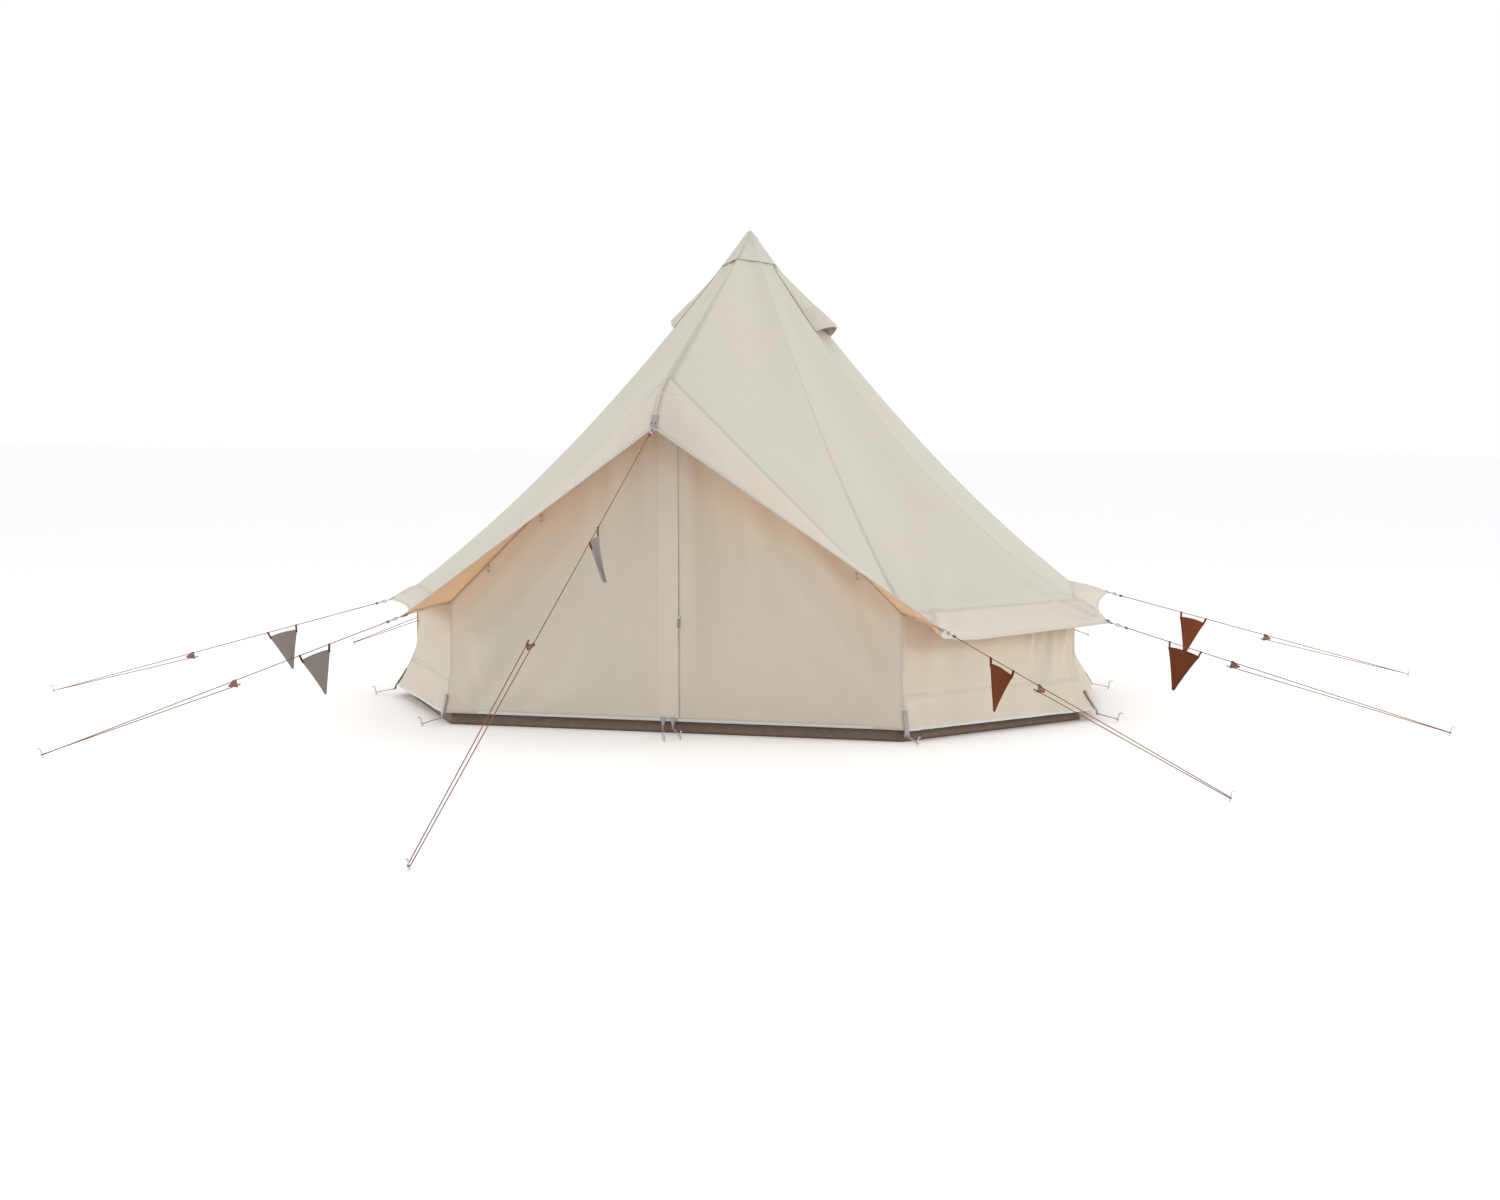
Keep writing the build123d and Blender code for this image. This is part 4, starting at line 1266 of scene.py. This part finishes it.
def add_pull():
    """A small wooden tab on a loop of leather."""
    low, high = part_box("zip_pull")
    middle = (low + high) / 2
    tab = [plate(rounded(0.0108, 0.030, 0.0035), middle - UP * 0.0080, X, FRONT, 0.0020)]
    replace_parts(beveled(solids("zip_pull_tab", tab, "pull", "zip_pull"), 0.0006), "zip_pull")
    loop = [middle + UP * (0.0135 + 0.0085 * math.cos(a)) + X * (0.0040 * math.sin(a))
            + Y * (0.0006 * math.sin(a * 3)) for a in [2 * math.pi * t for t in spread(25)]]
    ring = tube(loop, 0.0009, hint=Y, sides=8, ends=False)
    solids("zip_pull_loop", [ring], "strap", "zip_pull")


add_slider()
add_pull()

# Toggles with their loops of webbing, under the porch
TOGGLE = [(-0.016, 0.0018), (-0.0145, 0.0036), (-0.009, 0.0044), (-0.002, 0.0030), (0.002, 0.0030),
          (0.009, 0.0044), (0.0145, 0.0036), (0.016, 0.0018)]
TOGGLE_PLACES = ((0.650, 1.030), (0.930, 0.780))
toggles_at = [Vector((side * x, DOOR_Y - 0.009, z)) for side in (-1, 1) for x, z in TOGGLE_PLACES]


def toggle_loop(at):
    arc = [at + Y * (0.9 * (0.0086 - 0.0135 * swell(t))) + UP * (0.020 * math.cos(math.pi * t))
           for t in spread(13)]
    return [[p + X * w for w in (-0.0045, 0, 0.0045)] for p in arc]


toggle_bars = [turned_bar(at, UP, TOGGLE, X) for at in toggles_at]
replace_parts(solids("leaf_toggles", toggle_bars, "pull", "tent"), "door_toggles")
thicken(ribbons("toggle_loops", [toggle_loop(at) for at in toggles_at], "hem", "tent"), 0.0012)


# --- groundsheet ---

FRONT_FLOOR_R, SIDE_FLOOR_R = 1.790, 1.860
TUB_TOP = 0.095
TUB_LEAN = 0.028
TUB_PAIRS = SIDE_PAIRS + [(-1, 1)]


def floor_corner(k):
    return polar(FRONT_FLOOR_R if abs(k) == 1 else SIDE_FLOOR_R, k * STEP, 0)


def tub_point(a, b, u, t):
    """The groundsheet's side, from its foot at t 0 to its top edge at t 1."""
    point = mix(floor_corner(a), floor_corner(b), u)
    wave = 0.004 * ripple(u * 11, t, 101 + a) * smooth(0, 0.15, 4 * u * (1 - u))
    lean = TUB_LEAN * t ** 1.3 + 0.004 - wave * t
    return Vector((point.x, point.y, mix(0.003, TUB_TOP, t))) - point.normalized() * lean


def tub_grid(a, b):
    return [[tub_point(a, b, u, t) for u in spread(61)] for t in spread(9)]


cloth("groundsheet_tub", [tub_grid(a, b) for a, b in TUB_PAIRS], "groundsheet", "tent", "groundsheet",
      "hung", ["groundsheet_floor"], ["groundsheet_sides"])


def floor_grid():
    """The floor from the pole outwards, a little wrinkled. Each row goes once round the tent."""
    rim = [mix(floor_corner(a), floor_corner(b), j / 12) for a, b in TUB_PAIRS for j in range(12)]
    rows = []
    for r in spread(30):
        row = []
        for corner in rim:
            p = corner * max(0.02, r) * 0.9985
            lump = 0.0016 * max(0, ripple(p.x * 3.5, p.y * 3.5, 110) + 0.2)
            row.append(Vector((p.x, p.y, 0.0022 + lump)))
        rows.append(row + [row[0].copy()])
    return rows


floor_mesh, floor_area, _ = cloth_mesh("groundsheet_base", [floor_grid()])
base = link("groundsheet_base", floor_mesh, ["groundsheet"], "tent")
thicken(base, 0.0012)
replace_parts(base, "groundsheet_floor")


# --- vent meshes ---

def vent_mesh_grid(a, b):
    low, high, left, right = VENT
    return [[roof_point(a, b, mix(left - 0.04, right + 0.04, u), mix(low - 0.006, high + 0.006, t))
             - panel_normal(a, b, mix(low, high, t)) * 0.002 for u in spread(13)] for t in spread(7)]


cloth("vent_insect_mesh", [vent_mesh_grid(a, b) for a, b in VENT_PAIRS], "mesh", "tent", "mesh",
      "stretched", ["roof_sides"], ["vent_meshes"], thickness=0.0006)


# --- webbing, rings and hooks at the eaves' tips ---

def tip_surface(k, back):
    """The canvas over corner k's seam, that far back from the eave's tip."""
    if k == 0:
        return porch_point(1, 0, 1 - back / (tip(0) - ridge(0, 1)).length)
    return tip(k) - (tip(k) - ridge(k, 1)).normalized() * back


def tip_frame(k):
    """Sideways and away from the canvas, at the eave's tip."""
    seam = (tip_surface(k, 0) - tip_surface(k, 0.02)).normalized()
    side = seam.cross(UP).normalized()
    return side, side.cross(seam)


# Webbing at a tip: how far back it reaches, half of its width, how far it lies over and under the canvas
DOOR_TAB = (0.062, 0.0175, 0.0042, -0.0046)
SIDE_TAB = (0.030, 0.012, 0.0032, -0.0036)


def tab(k):
    """Grey webbing folded over the eave's tip, sewn at its corners, holding the ring."""
    _, along, _, _ = line_frame(k)
    reach, wide, over, under = DOOR_TAB if k == 0 else SIDE_TAB
    side, normal = tip_frame(k)
    loop = tip(k) + along * 0.007
    sewn = [tip_surface(k, reach * t) for t in (1, 0.7, 0.4, 0.2)]
    path = [p + normal * over for p in sewn] + [tip(k) + normal * over * 0.9]
    turn = [loop + normal * 0.0022, loop + along * 0.0024, loop - normal * 0.0024]
    back = [tip(k) + normal * under * 0.9] + [p + normal * under for p in reversed(sewn)]
    widths = [wide] * len(path) + [0.0095] * len(turn) + [wide] * len(back)
    return [[p + side * (half * w) for w in (-1, -0.5, 0, 0.5, 1)]
            for p, half in zip(path + turn + back, widths)]


def bar_tacks(k):
    side, normal = tip_frame(k)
    stand = 0.0056 if k == 0 else 0.0046
    return [plate(rounded(0.0035, 0.010, 0.001), tip_surface(k, 0.022) + side * x + normal * stand,
                  side, normal, 0.0009) for x in (-0.0095, 0.0095)]


def ring_part(k):
    """A welded D-ring through the webbing's loop, square to the line."""
    start, along, _, side = line_frame(k)
    points = []
    for t in spread(33):
        a = 2 * math.pi * t
        out = 0.017 + max(0.0115 * math.cos(a), -0.0085)
        points.append(start + along * out + side * (0.0125 * math.sin(a)))
    return tube(points, 0.0017, hint=side.cross(along), ends=False)


SWIVEL = [(0.044, 0.0020), (0.046, 0.0050), (0.052, 0.0054), (0.054, 0.0036), (0.057, 0.0034),
          (0.060, 0.0050), (0.062, 0.0048), (0.063, 0.0022)]      # distance along the line, radius


def swivel_part(k):
    """The barrel at the hook's end, where the cord is tied."""
    start, along, _, side = line_frame(k)
    return turned_bar(start, along, SWIVEL, side.cross(along))


def hook_parts(k):
    """A snap hook: an open eye round the ring, and its gate."""
    start, along, _, side = line_frame(k)
    up = side.cross(along)
    eye = start + along * 0.034
    turns = [math.radians(-150 + 330 * t) for t in spread(22)]
    bend = [eye + along * (-0.0085 * math.cos(a)) + up * (0.0062 * math.sin(a)) for a in turns]
    gate = [eye + along * 0.006 - up * 0.0052, eye - along * 0.005 - up * 0.0064]
    return [tube(bend + [start + along * 0.047], 0.0019, hint=side), tube(gate, 0.0013, hint=side)]


def hook_knots(k):
    start, along, _, _ = line_frame(k)
    return [knot(start + along * at, along, size) for at, size in ((0.071, 0.0048), (0.080, 0.0056))]


def gathered(parts_of):
    return [part for k in GUYS for part in parts_of(k)]


tabs = ribbons("tip_tabs", [tab(k) for k in GUYS], "webbing", "tent")
thicken(tabs, 0.0014)
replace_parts(tabs, "tip_webbing")
solids("tab_bar_tacks", gathered(bar_tacks), "strap", "tent")
rings = solids("tip_d_rings", [ring_part(k) for k in GUYS], "steel", "tent")
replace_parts(rings, "tip_rings")
hooks = solids("snap_hooks", gathered(hook_parts), "plastic", "tent")
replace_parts(hooks, "guy_hooks")
solids("snap_hook_swivels", [swivel_part(k) for k in GUYS], "steel", "tent")
solids("guy_line_knots", gathered(hook_knots), "cord", "tent")


# --- CAD nodes that show as they are ---

CARRIED_OVER = {
    "steel": ("guy_pegs", "corner_pegs"),
    "pole": ("centre_pole_lower", "centre_pole_middle", "centre_pole_upper", "a_frame_lower_legs",
             "a_frame_upper_legs"),
    "plastic": ("pole_foot", "pole_head", "a_frame_feet", "a_frame_peak_joint"),
}
for material, names in CARRIED_OVER.items():
    for name in names:
        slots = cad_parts[name].data.materials
        slots.clear()
        slots.append(MATERIALS[material])


# --- ties at the foot of the walls and the door ---

def tie_parts(start, end):
    """Cord looped through its webbing, round the peg and back to a knot."""
    along = (end - start).normalized()
    side = along.cross(UP).normalized()
    parts = []
    for sign in (-1, 1):
        route = [start + side * 0.0015 * sign, mix(start, end, 0.5) + side * 0.0042 * sign,
                 end + side * 0.0048 * sign + along * 0.002, end + along * 0.0085 + side * 0.0020 * sign]
        parts.append(tube(route, 0.0019, sides=8))
    return parts + [knot(start + along * 0.012, along, 0.0042)]


# Sections of a corner's webbing, down the wall and up again behind the tie: stands out by, height
CORNER_LOOP = ((0.004, 0.150), (0.0045, 0.110), (0.005, 0.070), (0.006, 0.052), (0.009, 0.036),
               (0.0065, 0.030), (0.003, 0.034), (0.001, 0.050))
# Sections of the webbing under the door: height, half of its width, stands out by
DOOR_LOOP = ((0.078, 0.016, 0.006), (0.060, 0.011, 0.008), (0.044, 0.006, 0.010), (0.028, 0.003, 0.013))
DOOR_TIES = ((-0.030, 0.070, -1.680), (0.020, 0.125, -1.600))     # x of the loop, x and y of the peg


def corner_loop(k):
    across = polar(1, k * STEP, 0).cross(UP)
    return [[polar(wall_corner(k, max(z, SKIRT_END)).xy.length + lift, k * STEP, z) + across * w
             for w in (-0.012, -0.006, 0, 0.006, 0.012)] for lift, z in CORNER_LOOP]


def door_loop(x):
    return [[Vector((x + half * w, DOOR_Y - stand, z)) for w in (-1, -0.4, 0.4, 1)]
            for z, half, stand in DOOR_LOOP]


all_ties = []
for k in CORNERS:
    radius = skirt_radius(k)
    all_ties += tie_parts(polar(radius + 0.004, k * STEP, 0.036), polar(radius + 0.110, k * STEP, 0.014))
for x, peg_x, peg_y in DOOR_TIES:
    all_ties += tie_parts(Vector((x, -1.398, 0.030)), Vector((peg_x, peg_y, 0.014)))
ties = solids("corner_ties", all_ties, "elastic", "tent")
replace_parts(ties, "corner_peg_ties")
tie_loops = [corner_loop(k) for k in CORNERS] + [door_loop(x) for x, _, _ in DOOR_TIES]
thicken(ribbons("tie_webbing", tie_loops, "webbing", "tent"), 0.0014)


# --- tensioners ---

# The board's corners: x and y of a circle's centre, and its radius
BOARD = [(-0.0145, 0.0055, 0.0055), (0.0145, 0.0055, 0.0055), (0.0, 0.0435, 0.0045)]
BOARD_T = 0.005


def rounded_corners(corners, steps=7):
    """The outline round circles at the corners."""
    points = []
    for i, (x, y, r) in enumerate(corners):
        px, py, _ = corners[i - 1]
        nx, ny, _ = corners[(i + 1) % len(corners)]
        first = math.atan2(y - py, x - px) - math.pi / 2
        last = math.atan2(ny - y, nx - x) - math.pi / 2
        while last < first:
            last += 2 * math.pi
        for a in [mix(first, last, t) for t in spread(steps + 1)]:
            points.append((x + r * math.cos(a), y + r * math.sin(a)))
    return points


def add_tensioner(k):
    """A three-cornered wooden slider along the two strands, with its eye, its eyelets and the knots of cord
    at it.
    """
    name = "tensioner_" + NAMES[k]
    start, along, _, _ = line_frame(k)
    across = return_side(k)
    away = along.cross(across)
    begin = start + along * TENSIONER_AT[k]
    centre = begin + across * (STRAND_GAP / 2) + away * (CORD_D / 2 + 0.0031)
    board = [plate(rounded_corners(BOARD), centre, across, -away, BOARD_T)]
    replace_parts(beveled(solids(name + "_board", board, "wood", name), 0.0011), name)
    eye = [tube([begin + along * (0.012 * t - 0.0005) for t in spread(4)], 0.0040, hint=across, sides=12)]
    cuff = [(-0.001, 0.0046 * 0.86), (0, 0.0046), (0.001, 0.0046 * 0.86)]
    eyelets = [turned_bar(begin + along * at, along, cuff, across) for at in (0.001, 0.0115)]
    for x, y in ((0.0135, 0.0065), (0, 0.0405)):
        spot = centre + across * x + along * y - away * 0.0026
        eyelets.append(turned_bar(spot, -away, [(0, 0.0030), (0.0008, 0.0030)], across))
    knots = [knot(centre + across * 0.0135 + along * 0.004 - away * 0.0060, across, 0.0052),
             knot(begin + along * 0.0150, along, 0.0050)]
    solids(name + "_knots", knots, "cord", name)
    solids(name + "_eye", eye, "wood", name)
    solids(name + "_eyelets", eyelets, "strap", name)


for corner in GUYS:
    add_tensioner(corner)


# --- pennants ---

PENNANT_W, PENNANT_DROP, PENNANT_HANG = 0.160, 0.205, 0.022
FELT = (0, -1, -2)
STRAP_REACH = 0.081                        # from the pennant's middle, along the line, to each strap
DOOR_NARROW = 0.82                         # the door's pennant is bunched up along its line


def pennant_frame(k):
    """The pennant's middle on the line, then the directions along the line, down and sideways."""
    start, along, _, side = line_frame(k)
    return start + along * PENNANT_AT[k], along, (along * along.z - UP).normalized(), side


def pennant_point(k, u, t):
    """u from -1 to 1 across, t from the upper edge, 0, to the point, 1."""
    centre, along, down, side = pennant_frame(k)
    bend = 1.0 if k in FELT else -0.7
    half = PENNANT_W / 2 * (1 - t) + 0.0045 * t
    x = u * (half - 0.003 * swell(t)) + 0.004 * t
    y = PENNANT_HANG + PENNANT_DROP * t - 0.004 * (1 - u * u) * (1 - t) + 0.0035 * u * u * (1 - t)
    out = bend * (0.010 * t * t + 0.006 * u * u * (1 - t)) + 0.003 * ripple(u * 1.5, t * 2.5, 120 + k)
    if k == 0:
        out += 0.014 * math.sin(u * 3.4 + 0.4) * (1 - 0.5 * t) - 0.034 * t * t
        x *= DOOR_NARROW
    return centre + along * x + down * y + side * out


def pennant_strap(k, sign):
    """A leather strap from one upper corner, over the line and back."""
    centre, along, down, side = pennant_frame(k)
    foot = pennant_point(k, sign * 0.95, 0.04)
    top = centre + along * (sign * STRAP_REACH * (0.9 if k == 0 else 1))
    half_way = mix(foot, top, 0.5)
    arc = [top + side * (0.0040 * math.cos(math.pi * t)) - down * (0.0040 * swell(t)) for t in spread(9)]
    path = ([foot + side * 0.0026 + down * 0.006, half_way + side * 0.0034] + arc
            + [half_way - side * 0.0034, foot - side * 0.0026 + down * 0.006])
    return [[p + along * w for w in (-0.0045, 0, 0.0045)] for p in path]


def pennant_edge(k, sign):
    edge = [pennant_point(k, sign * 0.985, t) for t in spread(24)]
    return tube(edge, 0.0019, hint=line_frame(k)[3], sides=8)


def add_pennant(k):
    name = "pennant_" + NAMES[k]
    material = "felt" if k in FELT else "leather"
    grid = [[pennant_point(k, u * 2 - 1, t) for u in spread(25)] for t in spread(29)]
    cloth(name + "_flag", [grid], material, name, material, "hung", ["guy_line_" + NAMES[k] + "_cord"],
          [name], thickness=0.0026)
    if k not in FELT:
        solids(name + "_edges", [pennant_edge(k, sign) for sign in (-1, 1)], "strap", name)
    straps = [pennant_strap(k, sign) for sign in (-1, 1)]
    thicken(ribbons(name + "_loops", straps, "strap", name), 0.0012)


for corner in PENNANT_AT:
    add_pennant(corner)


# --- floor, lights ---

def add_floor():
    mesh = bpy.data.meshes.new("studio_floor")
    size = 60
    corners = [(-size, -size, 0), (size, -size, 0), (size, size, 0), (-size, size, 0)]
    mesh.from_pydata(corners, [], [[0, 1, 2, 3]])
    n = Nodes("studio_floor")
    surface = n.add("BsdfPrincipled", {"Base Color": rgb(0.97, 0.97, 0.97), "Roughness": 0.9})
    mesh.materials.append(n.finish(surface.outputs[0]))
    floor = bpy.data.objects.new("studio_floor", mesh)
    bpy.context.scene.collection.objects.link(floor)


def add_light(name, location, target, size, power, colour=(1, 1, 1)):
    data = bpy.data.lights.new(name, "AREA")
    data.shape = "DISK"
    data.size = size
    data.energy = power
    data.color = colour
    light = bpy.data.objects.new(name, data)
    light.location = location
    light.rotation_euler = (Vector(target) - Vector(location)).to_track_quat("-Z", "Y").to_euler()
    bpy.context.scene.collection.objects.link(light)


def add_world():
    world = bpy.data.worlds.new("studio")
    world.use_nodes = True
    sky = world.node_tree.nodes["Background"].inputs
    sky["Color"].default_value = (1, 1, 1, 1)
    sky["Strength"].default_value = 1.0
    bpy.context.scene.world = world


add_floor()
add_world()
add_light("key", (7.5, -12.5, 4.6), (0, 0, 1.0), 2.4, 135, (1, 0.97, 0.93))
add_light("fill_left", (-9.0, -2.5, 2.4), (0, 0, 0.6), 4.0, 230)
add_light("fill_right", (9.0, 1.0, 2.6), (0, 0, 0.6), 4.0, 240)
bpy.context.scene.view_settings.view_transform = "Standard"
